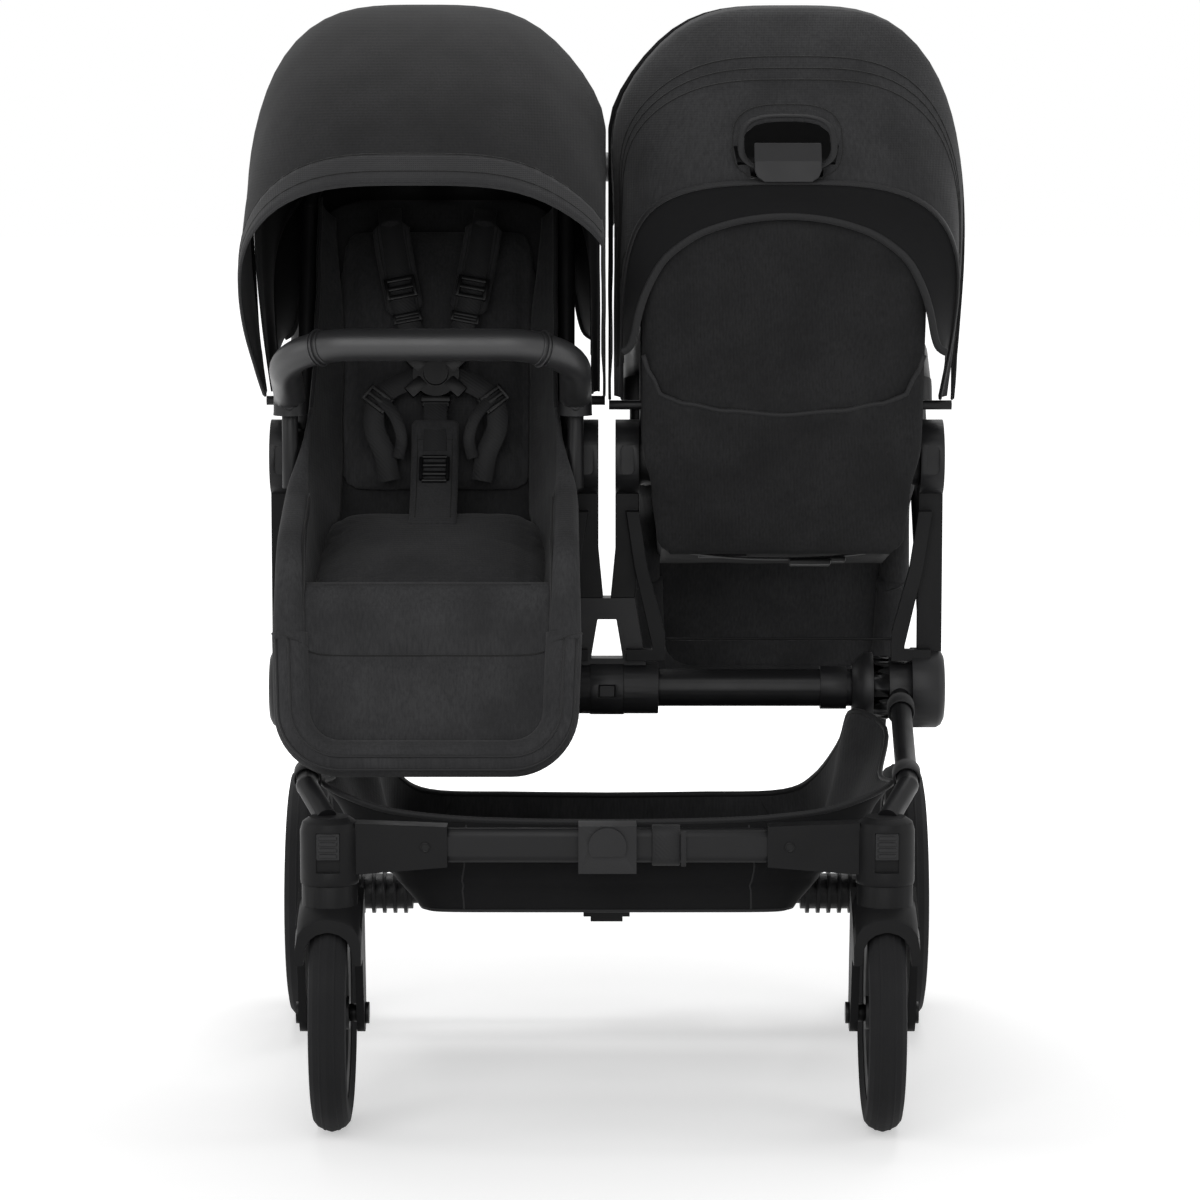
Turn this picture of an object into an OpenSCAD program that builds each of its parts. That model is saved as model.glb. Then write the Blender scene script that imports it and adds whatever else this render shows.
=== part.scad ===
// Side by side double stroller, left seat facing forward, right seat facing the pusher.
// X to the right in the front view, Y to the rear, Z up, origin on the ground under the middle.

/* [Overall] */
// Length from the front wheels to the handlebar
length = 940; // [930:5:960]
// Front axle to rear axle
wheelbase = 520; // [510:5:530]
// Front axle to the main cross tube
hub_back = 300; // [296:1:304]
// Height of the main cross tube
hub_z = 409; // [406:1:412]
// Distance between the two seat centres
seat_pitch = 366; // [365:1:370]

/* [Wheels] */
// Front wheel diameter
front_d = 240; // [234:2:244]
// Front tyre width
front_w = 38; // [34:1:40]
// Front wheel centre to centre
front_track = 556; // [552:2:560]
// Caster trail
trail = 35; // [32:1:36]
// Rear wheel diameter
rear_d = 290; // [284:2:296]
// Rear tyre width
rear_w = 46; // [42:1:48]

/* [Frame] */
// Main cross tube diameter
tube_d = 40; // [38:1:42]
// Hub disc diameter
disc_d = 86; // [84:1:90]
// Front crossbar height
bar_h = 35; // [32:1:36]
// Front crossbar centre height
bar_z = 298.5; // [297:0.5:300]
// Push tube diameter
push_d = 22; // [20:1:23]
// Grip height at the lowest handlebar setting
grip_z = 950; // [945:5:965]
// Grip diameter
grip_d = 34; // [30:1:36]
// Handlebar travel
bar_travel = 80; // [40:5:90]

/* [Seat] */
// Height of the seat pivot
seat_z = 657; // [655:1:659]
// Seat pod diameter
pod_d = 80; // [76:1:82]
// Seat rail diameter
rail_d = 17; // [15:1:18]
// Footrest roll diameter
roll_d = 38; // [34:1:40]
// Seat cushion thickness
cushion_t = 34; // [30:1:36]
// Backrest pad thickness
pad_t = 28; // [24:1:30]
// Bumper bar diameter
bumper_d = 34; // [28:1:36]

// Travel of the recline lever
lever_up = 8; // [6:1:9]

/* [Canopy] */
// Canopy radius from its pivot
hood_r = 423; // [418:1:425]
// Gap between the two canopies
hood_gap = 3; // [3:0.5:6]
// Canopy panel thickness
hood_t = 3; // [2.6:0.1:3.2]
// Front rim angle from upright
hood_front = 55; // [50:1:57]

/* [Fit] */
// Radial clearance of turning pins
fit = 0.06; // [0.03:0.01:0.1]
// Side gap between moving pieces
gap = 0.4; // [0.3:0.1:0.5]
// Gap between resting soft pieces
soft = 0.4; // [0.3:0.1:0.5]

/* [Hidden] */
$fn = 48;
front_y = -length / 2 + front_d / 2;
swivel_y = front_y - trail;
hub_y = front_y + hub_back;
rear_y = front_y + wheelbase;
front_x = front_track / 2;
front_z = front_d / 2;
rear_z = rear_d / 2;
seat_x = seat_pitch / 2;
tube_r = tube_d / 2;
disc_r = disc_d / 2;
pin_r = 14;
hood_w = seat_x - hood_gap / 2;
arm_1 = seat_x - 9;
arm_0 = arm_1 - 25;
disc_1 = seat_x + arm_1 + 3;
disc_0 = disc_1 - 35;
leg_0 = disc_0 - 24;
eye_0 = leg_0 - 17;
dome_0 = eye_0 - 22;
leg_x = (leg_0 + disc_0) / 2;
tray_0 = front_x - 113;
tray_1 = eye_0 - 29;
house_0 = 261;
house_1 = 328;
stem_r = 10;
axle_r = 6;
rear_axle_r = 8;
push_x = disc_1 - 13;
rear_x = push_x - 15;
push_r = push_d / 2;
inner_r = push_r - 2;
grip_r = grip_d / 2;
push_dy = length / 2 - grip_r - hub_y;
push_dz = grip_z - hub_z;
push_l = norm([push_dy, push_dz]);
push_a = atan2(push_dy, push_dz);
push_top = push_l - 200;
slide_l = 70 + bar_travel;
rail_r = rail_d / 2;
rail_x = arm_0 - 9;
post_x = rail_x + 10;
knee = [215, seat_z - 72];
foot = [279, seat_z - 271];
leg_l = norm(foot - knee);
leg_a = atan2(foot[1] - knee[1], foot[0] - knee[0]);
back_a = 18.7;
hood_f = -30;
hood_z = seat_z + 58;
hood_pin = 5;
bar_post = seat_z + 49;
side_x = rail_x - rail_r - 0.8;
top_z = seat_z + 308;
rail_l = norm([150, 308]);
rail_a = atan2(150, 308);
low_a = atan2(-72, knee[0]);
low_l = norm([knee[0], 72]);
knee_r = 40;
knee_t = knee_r * tan((low_a - leg_a) / 2);
low_e = low_l - knee_t;
roll_0 = 70;
roll_c = 45;
calf_x = rail_x - roll_d / 2 - 0.5;
calf_l = leg_l - roll_d / 2 - 0.5;
buckle_y = 74;

// Shared helpers
module xcyl(x0, x1, r, y, z) translate([x0, y, z]) rotate([0, 90, 0]) cylinder(r = r, h = x1 - x0);

module rod(a, b, r) {
  d = b - a;
  l = norm(d);
  translate(a) rotate([0, acos(d[2] / l), atan2(d[1], d[0])]) cylinder(r = r, h = l);
}

module run(pts, r) {
  for (i = [0 : len(pts) - 2]) rod(pts[i], pts[i + 1], r);
  if (len(pts) > 2) for (i = [1 : len(pts) - 2]) translate(pts[i]) sphere(r + 0.3);
}

module yz(x0, x1) translate([x0, 0, 0]) rotate([90, 0, 90]) linear_extrude(x1 - x0) children();

module xz(y0, y1) translate([0, y1, 0]) rotate([90, 0, 0]) linear_extrude(y1 - y0) children();

module both() {
  children();
  mirror([1, 0, 0]) children();
}

module box(a, b) translate(a) cube(b - a);

// Solid turned about X from a profile given as radius and place along X
module turned(y, z, pts) translate([0, y, z]) rotate([0, 90, 0]) rotate_extrude() polygon(pts);

// Chassis
module main_cross_tube() color("#1c1c1e") {
  xcyl(-dome_0, dome_0, tube_r, hub_y, hub_z);
  both() {
    xcyl(dome_0 - 34, dome_0 - 6, tube_r + 3, hub_y, hub_z);
    xcyl(dome_0, disc_0, pin_r, hub_y, hub_z);
  }
}

module button_block(c, y0, y1) box([-8 - c, hub_y - tube_r - y0, hub_z - 6 - c],
  [8 + c, hub_y - tube_r - y1, hub_z + 6 + c]);

module centre_sleeve() color("#161617") difference() {
  union() {
    xcyl(-55, 55, tube_r + 8, hub_y, hub_z);
    xcyl(-18, 18, tube_r + 9, hub_y, hub_z);
  }
  xcyl(-56, 56, tube_r, hub_y, hub_z);
  button_block(gap, 20, 1);
}

module centre_button() color("#2a2a2c") button_block(0, 11, 3.4);

module centre_bracket() color("#1a1a1c") difference() {
  xz(hub_y - 12, hub_y + 12) difference() {
    polygon([[-46, hub_z], [-30, hub_z + 98], [30, hub_z + 98], [46, hub_z]]);
    polygon([[-17, hub_z + 33], [-10, hub_z + 75], [10, hub_z + 75], [17, hub_z + 33]]);
  }
  xcyl(-60, 60, tube_r + 8, hub_y, hub_z);
  xcyl(-18.5, 18.5, tube_r + 9, hub_y, hub_z);
}

module hub_covers() color("#141415") both() {
  turned(hub_y, hub_z, [[pin_r, dome_0], [24, dome_0], [32, dome_0 + 6], [37, dome_0 + 13], [38, eye_0],
    [pin_r, eye_0]]);
  turned(hub_y, hub_z, [[0, disc_0], [disc_r, disc_0], [disc_r, disc_1 - 8], [disc_r - 3, disc_1 - 3],
    [disc_r - 9, disc_1], [disc_r - 14, disc_1], [disc_r - 16, disc_1 - 2], [0, disc_1 - 2]]);
}

module house_body() {
  translate([front_x, swivel_y, 0]) rotate_extrude() polygon([[0, house_0], [29, house_0],
    [29.5, house_0 + 4], [29.5, house_1 - 14], [27, house_1 - 5], [20, house_1], [0, house_1]]);
  xz(swivel_y - 12, swivel_y + 12) polygon([[160, bar_z - bar_h / 2 - 3], [160, bar_z + bar_h / 2 + 3],
    [front_x - 26, bar_z + 24], [front_x - 26, bar_z - 28]]);
}

module front_legs() color("#1c1c1e") both() difference() {
  union() {
    xcyl(leg_0, disc_0, 33, hub_y, hub_z);
    run([[leg_x, hub_y, hub_z], [leg_x - 9, swivel_y + 62, house_1 + 20],
      [front_x + 3, swivel_y + 6, house_1 - 4]], 11);
  }
  xcyl(leg_0 - 1, disc_0 + 1, pin_r, hub_y, hub_z);
  house_body();
}

module bar_body(l) {
  for (s = [-1, 1]) xcyl(-l, l, 8, swivel_y, bar_z + s * (bar_h / 2 - 8));
  box([-l, swivel_y - 8, bar_z - bar_h / 2 + 8], [l, swivel_y + 8, bar_z + bar_h / 2 - 8]);
}

module front_crossbar() color("#1c1c1e") bar_body(180);

module crossbar_latch() color("#141415") difference() {
  union() {
    box([-29, swivel_y - 17, bar_z - 26], [29, swivel_y + 17, bar_z + 22]);
    xz(swivel_y - 21, swivel_y - 17) intersection() {
      translate([0, bar_z + 2]) circle(19);
      translate([-20, bar_z - 8]) square([40, 40]);
    }
  }
  bar_body(30);
}

module fork_housings() color("#141415") both() difference() {
  house_body();
  bar_body(180);
  translate([front_x, swivel_y, house_0 - 1]) cylinder(r = stem_r + fit, h = 58);
  box([front_x - 12, swivel_y - 31, house_0 + 14], [front_x + 12, swivel_y - 24, house_0 + 54]);
}

module swivel_lock() color("#2a2a2c") {
  box([front_x - 11.5, swivel_y - 28, house_0 + 27], [front_x + 11.5, swivel_y - 24.4, house_0 + 53.6]);
  for (i = [0 : 3]) box([front_x - 9, swivel_y - 30, house_0 + 30 + i * 6],
    [front_x + 9, swivel_y - 28, house_0 + 33 + i * 6]);
}

// Half width of the basket at a place along it
function tray_x(y) = tray_0 + (tray_1 - tray_0) * (y - swivel_y - 42) / (rear_y - 46 - swivel_y - 42);

// Open tray of cloth, with a gusset on each side hung on the cross tube
module basket() color("#101011") {
  difference() {
    hull() {
      box([-tray_0, swivel_y + 42, 222], [tray_0, swivel_y + 44, 318]);
      box([-tray_1, rear_y - 48, 176], [tray_1, rear_y - 46, 296]);
    }
    hull() {
      box([3 - tray_0, swivel_y + 45, 225], [tray_0 - 3, swivel_y + 46, 320]);
      box([3 - tray_1, rear_y - 50, 179], [tray_1 - 3, rear_y - 49, 300]);
    }
  }
  both() hull() {
    box([dome_0 - 28, hub_y - 8, hub_z - tube_r - 6], [dome_0 - 12, hub_y + 8, hub_z - tube_r - 3.3]);
    for (y = [hub_y - 182, hub_y + 88]) let (z = y < hub_y ? 306 : 295)
      box([tray_x(y) - 2, y, z], [tray_x(y) + 1, y + 4, z + 3]);
  }
}

module pod_cut() both() for (x = [seat_x - arm_1, seat_x + arm_0])
  xcyl(x - 1, x + arm_1 - arm_0 + 1, pod_d / 2, hub_y, seat_z);

// Arm with a hooked lip in front, inner edge at x0 and outer edge at x1, lip towards t
module arm_hook(x0, t) xz(hub_y - 25, hub_y - 13) polygon([[x0, seat_z - 56], [x0 + t * 14, seat_z - 56],
  [x0 + t * 23, seat_z - 116], [x0 + t * 42, hub_z + 61], [x0 + t * 42, hub_z + 32], [x0, hub_z + 32],
  [x0, hub_z + 44], [x0 + t * 28, hub_z + 44], [x0 + t * 28, hub_z + 48], [x0 + t * 9, seat_z - 116]]);

module seat_arms_outer() color("#1a1a1c") both() difference() {
  union() {
    box([seat_x + arm_0, hub_y - 13, hub_z], [seat_x + arm_1, hub_y + 13, seat_z]);
    arm_hook(seat_x + arm_0 + 13, -1);
    xcyl(seat_x - arm_1 + 53, seat_x + arm_0 - 29, 1.5, hub_y - 19, hub_z + 55);
  }
  xcyl(disc_0, disc_1 + 2, disc_r, hub_y, hub_z);
  pod_cut();
}

module seat_arms_inner() color("#1a1a1c") both() difference() {
  union() {
    xz(hub_y - 13, hub_y + 13) polygon([[4, hub_z + 98], [30, hub_z + 98], [seat_x - arm_0, hub_z + 150],
      [seat_x - arm_0, seat_z], [seat_x - arm_1, seat_z], [seat_x - arm_1, hub_z + 150]]);
    arm_hook(seat_x - arm_1 + 11, 1);
  }
  pod_cut();
}

module pod(x0, x1, b) difference() {
  xcyl(x0, x1, pod_d / 2, hub_y, seat_z);
  xcyl(b - 16, b + 16, 8 + fit, hub_y, seat_z);
  for (s = [-9, 9]) translate([(x0 + x1) / 2, hub_y - pod_d / 2 - 1, seat_z + s]) rotate([-90, 0, 0])
    cylinder(r = 7, h = 4);
  box([(x0 + x1) / 2 - 7, hub_y - pod_d / 2 - 1, seat_z - 9], [(x0 + x1) / 2 + 7, hub_y - pod_d / 2 + 3,
    seat_z + 9]);
}

module seat_pods() color("#161617") both() {
  pod(seat_x - arm_1, seat_x - arm_0, seat_x - arm_0);
  pod(seat_x + arm_0, seat_x + arm_1, seat_x + arm_0);
}

// Frame along a push tube, with Z running up the tube from the hub
module on_push(s) translate([s * push_x, hub_y, hub_z]) rotate([-push_a, 0, 0]) children();

module push_tubes() color("#1c1c1e") for (s = [-1, 1]) difference() {
  on_push(s) difference() {
    cylinder(r = push_r, h = push_top);
    translate([0, 0, push_top - slide_l - 10]) cylinder(r = inner_r + fit, h = slide_l + 11);
  }
  both() xcyl(disc_0, disc_1 + 2, disc_r, hub_y, hub_z);
}

module push_collars() color("#141415") for (s = [-1, 1]) on_push(s) difference() {
  translate([0, 0, push_top - 34]) cylinder(r = push_r + 4, h = 34);
  translate([0, 0, push_top - 35]) cylinder(r = push_r, h = 36);
}

module bow(r) translate([0, hub_y, hub_z]) rotate([90 - push_a, 0, 0])
  u_bend(push_x, r, push_top - slide_l, push_l, 44);

module handlebar() color("#1c1c1e") bow(inner_r);

module grip() color("#232325") difference() {
  xcyl(77 - push_x, push_x - 77, grip_r, hub_y + push_dy, hub_z + push_dz);
  xcyl(76 - push_x, push_x - 76, inner_r, hub_y + push_dy, hub_z + push_dz);
}

// Wheels
// Profile of the arch over a front wheel, half width w at radius r from the axle
function wheel_arch(r, w) = [[0, -w], [r - 24, -w], [r - 13, -w * 0.92], [r - 6, -w * 0.74],
  [r - 2, -w * 0.46], [r, -w * 0.1], [r, w * 0.1], [r - 2, w * 0.46], [r - 6, w * 0.74],
  [r - 13, w * 0.92], [r - 24, w], [0, w]];

module fork() color("#161617") difference() {
  union() {
    intersection() {
      box([front_x - 34, swivel_y - 43, front_d - 56], [front_x + 34, swivel_y + 30, house_0 - gap]);
      translate([front_x, 0, 0]) turned(front_y, front_z, wheel_arch(front_d / 2 + 15, 33));
    }
    translate([front_x, swivel_y, front_d - 20]) cylinder(r = 28, h = house_0 - gap - front_d + 20);
    for (s = [-1, 1]) translate([front_x + s * 29 - 4, 0, 0]) {
      yz(0, 8) polygon([[swivel_y - 24, front_d - 20], [swivel_y + 30, front_d + 10],
        [front_y + 19, front_z + 6], [front_y - 19, front_z - 6]]);
      xcyl(0, 8, 19, front_y, front_z);
    }
    translate([front_x, swivel_y, house_0 - 3]) cylinder(r = stem_r, h = 58);
  }
  translate([front_x, 0, 0]) turned(front_y, front_z, wheel_arch(front_d / 2 + 5, 25));
  xcyl(front_x - 40, front_x + 40, axle_r, front_y, front_z);
}

module front_axle() color("#3a3a3c") {
  xcyl(front_x - 35, front_x + 35, axle_r, front_y, front_z);
  for (s = [-1, 1]) {
    xcyl(front_x + s * 35 - 2, front_x + s * 35 + 2, 11, front_y, front_z);
    c = front_x + s * (21 + gap / 2);
    xcyl(c - 4 + gap / 2, c + 4 - gap / 2, 9, front_y, front_z);
  }
}

module tyre(x, y, r, w) color("#0e0e0f") translate([x, y, r]) rotate([0, 90, 0]) rotate_extrude($fn = 72)
  polygon([[r * 0.77, -w * 0.38], [r * 0.86, -w / 2], [r * 0.915, -w * 0.47], [r * 0.957, -w * 0.36],
    [r * 0.985, -w * 0.17], [r, -w * 0.02], [r, w * 0.02], [r * 0.985, w * 0.17], [r * 0.957, w * 0.36],
    [r * 0.915, w * 0.47], [r * 0.86, w / 2], [r * 0.77, w * 0.38]]);

module rim(x, y, r, w, b, hub_h, n) color("#19191a") translate([x, y, r]) rotate([0, 90, 0]) difference() {
  union() {
    rotate_extrude($fn = 72) polygon([[r * 0.68, -w * 0.3], [r * 0.77, -w * 0.36], [r * 0.77, w * 0.36],
      [r * 0.68, w * 0.3]]);
    translate([0, 0, -hub_h]) cylinder(r = b + 11, h = 2 * hub_h);
    for (i = [0 : n - 1]) rotate([0, 0, 18 + i * 360 / n]) translate([b + 5, -r * 0.07, -5])
      cube([r * 0.72 - b - 5, r * 0.14, 10]);
  }
  translate([0, 0, -hub_h - 1]) cylinder(r = b + fit, h = 2 * hub_h + 2);
}

module front_tyre() tyre(front_x, front_y, front_d / 2, front_w);
module front_rim() rim(front_x, front_y, front_d / 2, front_w, axle_r, 17, 5);
module rear_tyre() tyre(rear_x, rear_y, rear_d / 2, rear_w);
module rear_rim() rim(rear_x, rear_y, rear_d / 2, rear_w, rear_axle_r, 19, 5);

// Rear frame that folds about the hub
module rear_legs() color("#1c1c1e") both() {
  a = atan2(rear_y - hub_y, hub_z - rear_z);
  l = norm([rear_y - hub_y, hub_z - rear_z]);
  difference() {
    union() {
      xcyl(eye_0 + gap, leg_0 - gap, 34, hub_y, hub_z);
      translate([0, hub_y, hub_z]) rotate([a, 0, 0]) box([eye_0 + gap, -13, -l], [leg_0 - gap, 13, 0]);
      xcyl(eye_0 - 3, leg_0 + 4, 22, rear_y, rear_z);
    }
    xcyl(eye_0 - 1, leg_0 + 1, pin_r + fit, hub_y, hub_z);
    xcyl(eye_0 - 4, leg_0 + 5, rear_axle_r, rear_y, rear_z);
  }
}

module rear_axle() color("#1a1a1c") {
  xcyl(3 - eye_0, eye_0 - 3, 14, rear_y, rear_z);
  box([-26, rear_y - 18, rear_z - 26], [26, rear_y + 16, rear_z]);
  box([-18, rear_y - 16, rear_z - 32], [18, rear_y + 14, rear_z - 25]);
  both() {
    xcyl(eye_0 - 4, rear_x + 19 + gap, rear_axle_r, rear_y, rear_z);
    xcyl(rear_x + 19 + gap, rear_x + 19 + gap + 3, 16, rear_y, rear_z);
    xcyl(leg_0 + 4, rear_x - 19 - gap, 12, rear_y, rear_z);
    xcyl(eye_0 - 66, eye_0 - 4, 20, rear_y, rear_z);
    for (i = [0 : 4]) xcyl(eye_0 - 60 + 12 * i, eye_0 - 56 + 12 * i, 25, rear_y, rear_z);
  }
}

module brake_pedal() color("#2a2a2c") difference() {
  union() {
    xcyl(36, 90, 19, rear_y, rear_z);
    box([36, rear_y, rear_z + 8], [90, rear_y + 58, rear_z + 17]);
  }
  xcyl(35, 91, 14 + fit, rear_y, rear_z);
}

// Seat parts, drawn facing +Y about the seat pivot, +X outwards
module seat(s) translate([s * seat_x, hub_y, 0]) rotate([0, 0, s < 0 ? 180 : 0]) children();

module foot_plane() translate([0, knee[0], knee[1]]) rotate([leg_a, 0, 0]) children();

// U of half width w and radius r, from y0 to l, bend radius c, its straight runs let into fuller bends
module u_bend(w, r, y0, l, c) {
  both() {
    translate([w, y0, 0]) rotate([-90, 0, 0]) cylinder(r = r, h = l - c - y0 + 4);
    translate([w - c, l - c, 0]) rotate_extrude(angle = 90) translate([c, 0]) circle(r + 0.4);
  }
  translate([c - w - 4, l, 0]) rotate([0, 90, 0]) cylinder(r = r, h = 2 * (w - c) + 8);
}

// Knee of the rail, a bend in the plane of the side
module knee_bend() translate([rail_x, 0, 0]) rotate([90, 0, 90])
  translate([low_e * cos(low_a) + knee_r * sin(low_a), seat_z + low_e * sin(low_a) - knee_r * cos(low_a)])
  rotate([0, 0, leg_a + 90]) rotate_extrude(angle = low_a - leg_a) translate([knee_r, 0]) circle(rail_r);

module seat_frame() color("#232325") {
  both() {
    xcyl(rail_x - rail_r - 0.5, arm_0 - gap, 30, 0, seat_z);
    rod([rail_x, 0, seat_z], [rail_x, low_e * cos(low_a), seat_z + low_e * sin(low_a)], rail_r);
    knee_bend();
    xcyl(arm_0 - 2, arm_0 + 15, 8, 0, seat_z);
    xcyl(rail_x, hood_w - 0.5, hood_pin, hood_f, hood_z);
    translate([post_x, 60, seat_z - 27]) cylinder(r = 8.5, h = bar_post - seat_z + 27);
  }
  translate([0, 0, seat_z]) rotate([90 + rail_a, 0, 0]) u_bend(rail_x, rail_r, 0, rail_l, 56);
  translate([post_x, 60, bar_post - 1]) cylinder(r = 4, h = 25);
  foot_plane() both() translate([rail_x, knee_t, 0]) rotate([-90, 0, 0]) cylinder(r = rail_r,
    h = roll_0 - knee_t);
}

// Padded roll that closes the rails at the foot
module footrest() color("#1a1a1b") foot_plane() u_bend(rail_x, roll_d / 2, roll_0, leg_l, roll_c);

// Closed cushion with a crowned face, drawn-in sides and sewn channels, face towards +Z
function crown(u, v, t, h, g) = t / 2 + h * (1 - u * u) * (1 - v * v)
  - g * (exp(-pow((abs(u) - 0.46) / 0.08, 2)) + exp(-pow((v - 0.1) / 0.05, 2))) * (1 - pow(v, 8));
function edge(u, v) = sqrt(max(0.16, (1 - pow(abs(u), 7)) * (1 - pow(abs(v), 7))));
function wide(u, v, w, p) = w * u * (1 - p * (1 - v * v)) * (1 - 0.09 * pow(abs(v), 6));
function long(u, v, l, p) = l * v * (1 - p * (1 - u * u)) * (1 - 0.06 * pow(abs(u), 6));

module pillow(w, l, t, h, g, n, m) {
  top = [for (j = [0 : m]) for (i = [0 : n]) let (u = 2 * i / n - 1, v = 2 * j / m - 1)
    [wide(u, v, w, 0.02), long(u, v, l, 0.02), -t / 2 + (crown(u, v, t, h, g) + t / 2) * edge(u, v)]];
  low = [for (p = top) [p[0], p[1], -t / 2]];
  k = (n + 1) * (m + 1);
  rim = concat([for (i = [0 : n - 1]) i], [for (j = [0 : m - 1]) j * (n + 1) + n],
    [for (i = [n : -1 : 1]) m * (n + 1) + i], [for (j = [m : -1 : 1]) j * (n + 1)]);
  q = [for (j = [0 : m - 1]) for (i = [0 : n - 1]) let (a = j * (n + 1) + i)
    [a, a + 1, a + n + 2, a + n + 1]];
  polyhedron(concat(top, low), concat(
    [for (f = q) [f[0], f[2], f[1]]], [for (f = q) [f[0], f[3], f[2]]],
    [for (i = [0 : len(rim) - 1]) let (a = rim[i], b = rim[(i + 1) % len(rim)]) [a, b, b + k]],
    [for (i = [0 : len(rim) - 1]) let (a = rim[i], b = rim[(i + 1) % len(rim)]) [a, b + k, a + k]],
    [[for (i = [len(rim) - 1 : -1 : 0]) rim[len(rim) - 1 - i] + k]]));
}

// Plane of the backrest, Y up the back and Z forward, at the back face of the pad
module back_plane() translate([0, -60, seat_z]) rotate([90 + back_a, 0, 0]) mirror([0, 0, 1]) children();

module backrest() color("#131314") back_plane() translate([0, 101, pad_t / 2])
  pillow(rail_x - 28, 152, pad_t, 7, 3, 26, 22);

// Outline of a cloth panel, even about the middle, from points of its right half
module panel(t, half) linear_extrude(t) polygon(concat(half, [for (i = [len(half) - 1 : -1 : 0])
  if (half[i][0] > 0) [-half[i][0], half[i][1]]]));

module back_cover() color("#141415") back_plane() {
  translate([0, 0, -12 - soft]) panel(12, [[rail_x - 28, -104], [rail_x - 8, -84], [rail_x - 4, -30],
    [rail_x + 8, 30], [rail_x + 8, 220], [rail_x, 250], [rail_x - 22, 272], [rail_x - 60, 282]]);
  translate([0, 0, -17 - soft]) panel(5, [[rail_x - 36, -98], [rail_x - 19, -80], [rail_x - 8, 40],
    [rail_x + 3, 120], [rail_x - 19, 77], [60, 62], [0, 57]]);
}

// Plane of the seat, Y forward along it and Z up, at the underside of the cushion
module seat_plane() translate([0, -8, seat_z - 90]) rotate([-11.5, 0, 0]) children();

module cushion() color("#131314") seat_plane() translate([0, 117, cushion_t / 2])
  pillow(rail_x - 23, 112, cushion_t, 9, 2, 26, 18);

module liner() color("#161617") {
  both() yz(side_x - 6, side_x) polygon([[-56, seat_z - 10], [0, seat_z - 10], [knee[0] - 8, knee[1] - 8],
    [knee[0] + 14, knee[1] - 40], [knee[0] - 12, knee[1] - 72], [-14, seat_z - 103], [-29, seat_z - 90]]);
  seat_plane() box([6 - side_x, 2, -6 - soft], [side_x - 6, 214, -soft]);
  foot_plane() translate([0, 0, -3]) linear_extrude(6) polygon([[-calf_x, 62], [calf_x, 62],
    [calf_x, leg_l - roll_c], [rail_x - roll_c, calf_l], [roll_c - rail_x, calf_l],
    [-calf_x, leg_l - roll_c]]);
}

// Arch of the canopy as distance from the pivot against half width, grown by o
function arch(o, n) = let (r = hood_r + o, w = hood_w + o, q = 60) [for (i = [0 : n])
  let (t = 180 * i / n - 90, c = max(0, cos(t))) [q + (r - q) * sqrt(c), w * sign(t) * sqrt(abs(sin(t)))]];

// Panel of the canopy between two angles from upright, positive to the front
module hood(o, a0, a1) {
  outer = arch(o, 28);
  inner = arch(o - hood_t, 28);
  w = hood_w + o - 0.35;
  translate([0, hood_f, hood_z]) rotate([-a1, 0, 0]) rotate([0, -90, 0]) rotate([180, 0, 0])
    rotate_extrude(angle = a1 - a0, $fn = 96) polygon(concat([[8, -w]], outer, [[8, w], [8, w - hood_t]],
    [for (i = [28 : -1 : 0]) inner[i]], [[8, hood_t - w]]));
}

// Side ears of a canopy panel, a little proud of it on both faces
module hood_ears(o) both() xcyl(hood_w + o - hood_t - 0.55, hood_w + o - 0.1, 16, hood_f, hood_z);

module hood_bores(c) both() xcyl(rail_x, hood_w + 1, hood_pin + c, hood_f, hood_z);

module canopy_front() color("#101011") difference() {
  union() {
    hood(0, 10, hood_front);
    hood_ears(0);
  }
  hood_bores(fit);
}

// Back panel of the canopy, drawn in from the rear bow down to the backrest
function bow_pt(k, t, o) = let (a = -8.2 - 29 * k, r = hood_r - hood_t - 1 - o - 143 * k,
  w = hood_w - hood_t - 1 - o - 11 * k, q = 60 + 40 * k, c = max(0, 1 - abs(t)), e = 0.5 + 0.12 * k,
  x = w * sign(t) * pow(sin(90 * abs(t)), e), d = q + (r - q) * pow(sin(90 * c), e))
  [x, hood_f + d * sin(a), hood_z + d * cos(a)];

module back_panel(n, m) {
  face = [for (o = [0, hood_t]) for (j = [0 : n]) for (i = [0 : m]) bow_pt(j / n, 2 * i / m - 1, o)];
  k = (n + 1) * (m + 1);
  q = [for (j = [0 : n - 1]) for (i = [0 : m - 1]) let (a = j * (m + 1) + i)
    [a, a + 1, a + m + 2, a + m + 1]];
  rim = concat([for (i = [0 : m - 1]) i], [for (j = [0 : n - 1]) j * (m + 1) + m],
    [for (i = [m : -1 : 1]) n * (m + 1) + i], [for (j = [n : -1 : 1]) j * (m + 1)]);
  polyhedron(face, concat(
    [for (f = q) [f[0], f[1], f[2]]], [for (f = q) [f[0], f[2], f[3]]],
    [for (f = q) [f[0] + k, f[2] + k, f[1] + k]], [for (f = q) [f[0] + k, f[3] + k, f[2] + k]],
    [for (i = [0 : len(rim) - 1]) let (a = rim[i], b = rim[(i + 1) % len(rim)]) [a, b + k, b]],
    [for (i = [0 : len(rim) - 1]) let (a = rim[i], b = rim[(i + 1) % len(rim)]) [a, a + k, b + k]]));
}

module canopy_rear() color("#101011") {
  difference() {
    union() {
      hood(-hood_t - 1, -8, 16);
      hood_ears(-hood_t - 1);
    }
    hood_bores(0);
  }
  difference() {
    back_panel(6, 20);
    box([-24, -230, top_z - 10], [24, -150, top_z + 18]);
  }
}

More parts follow.
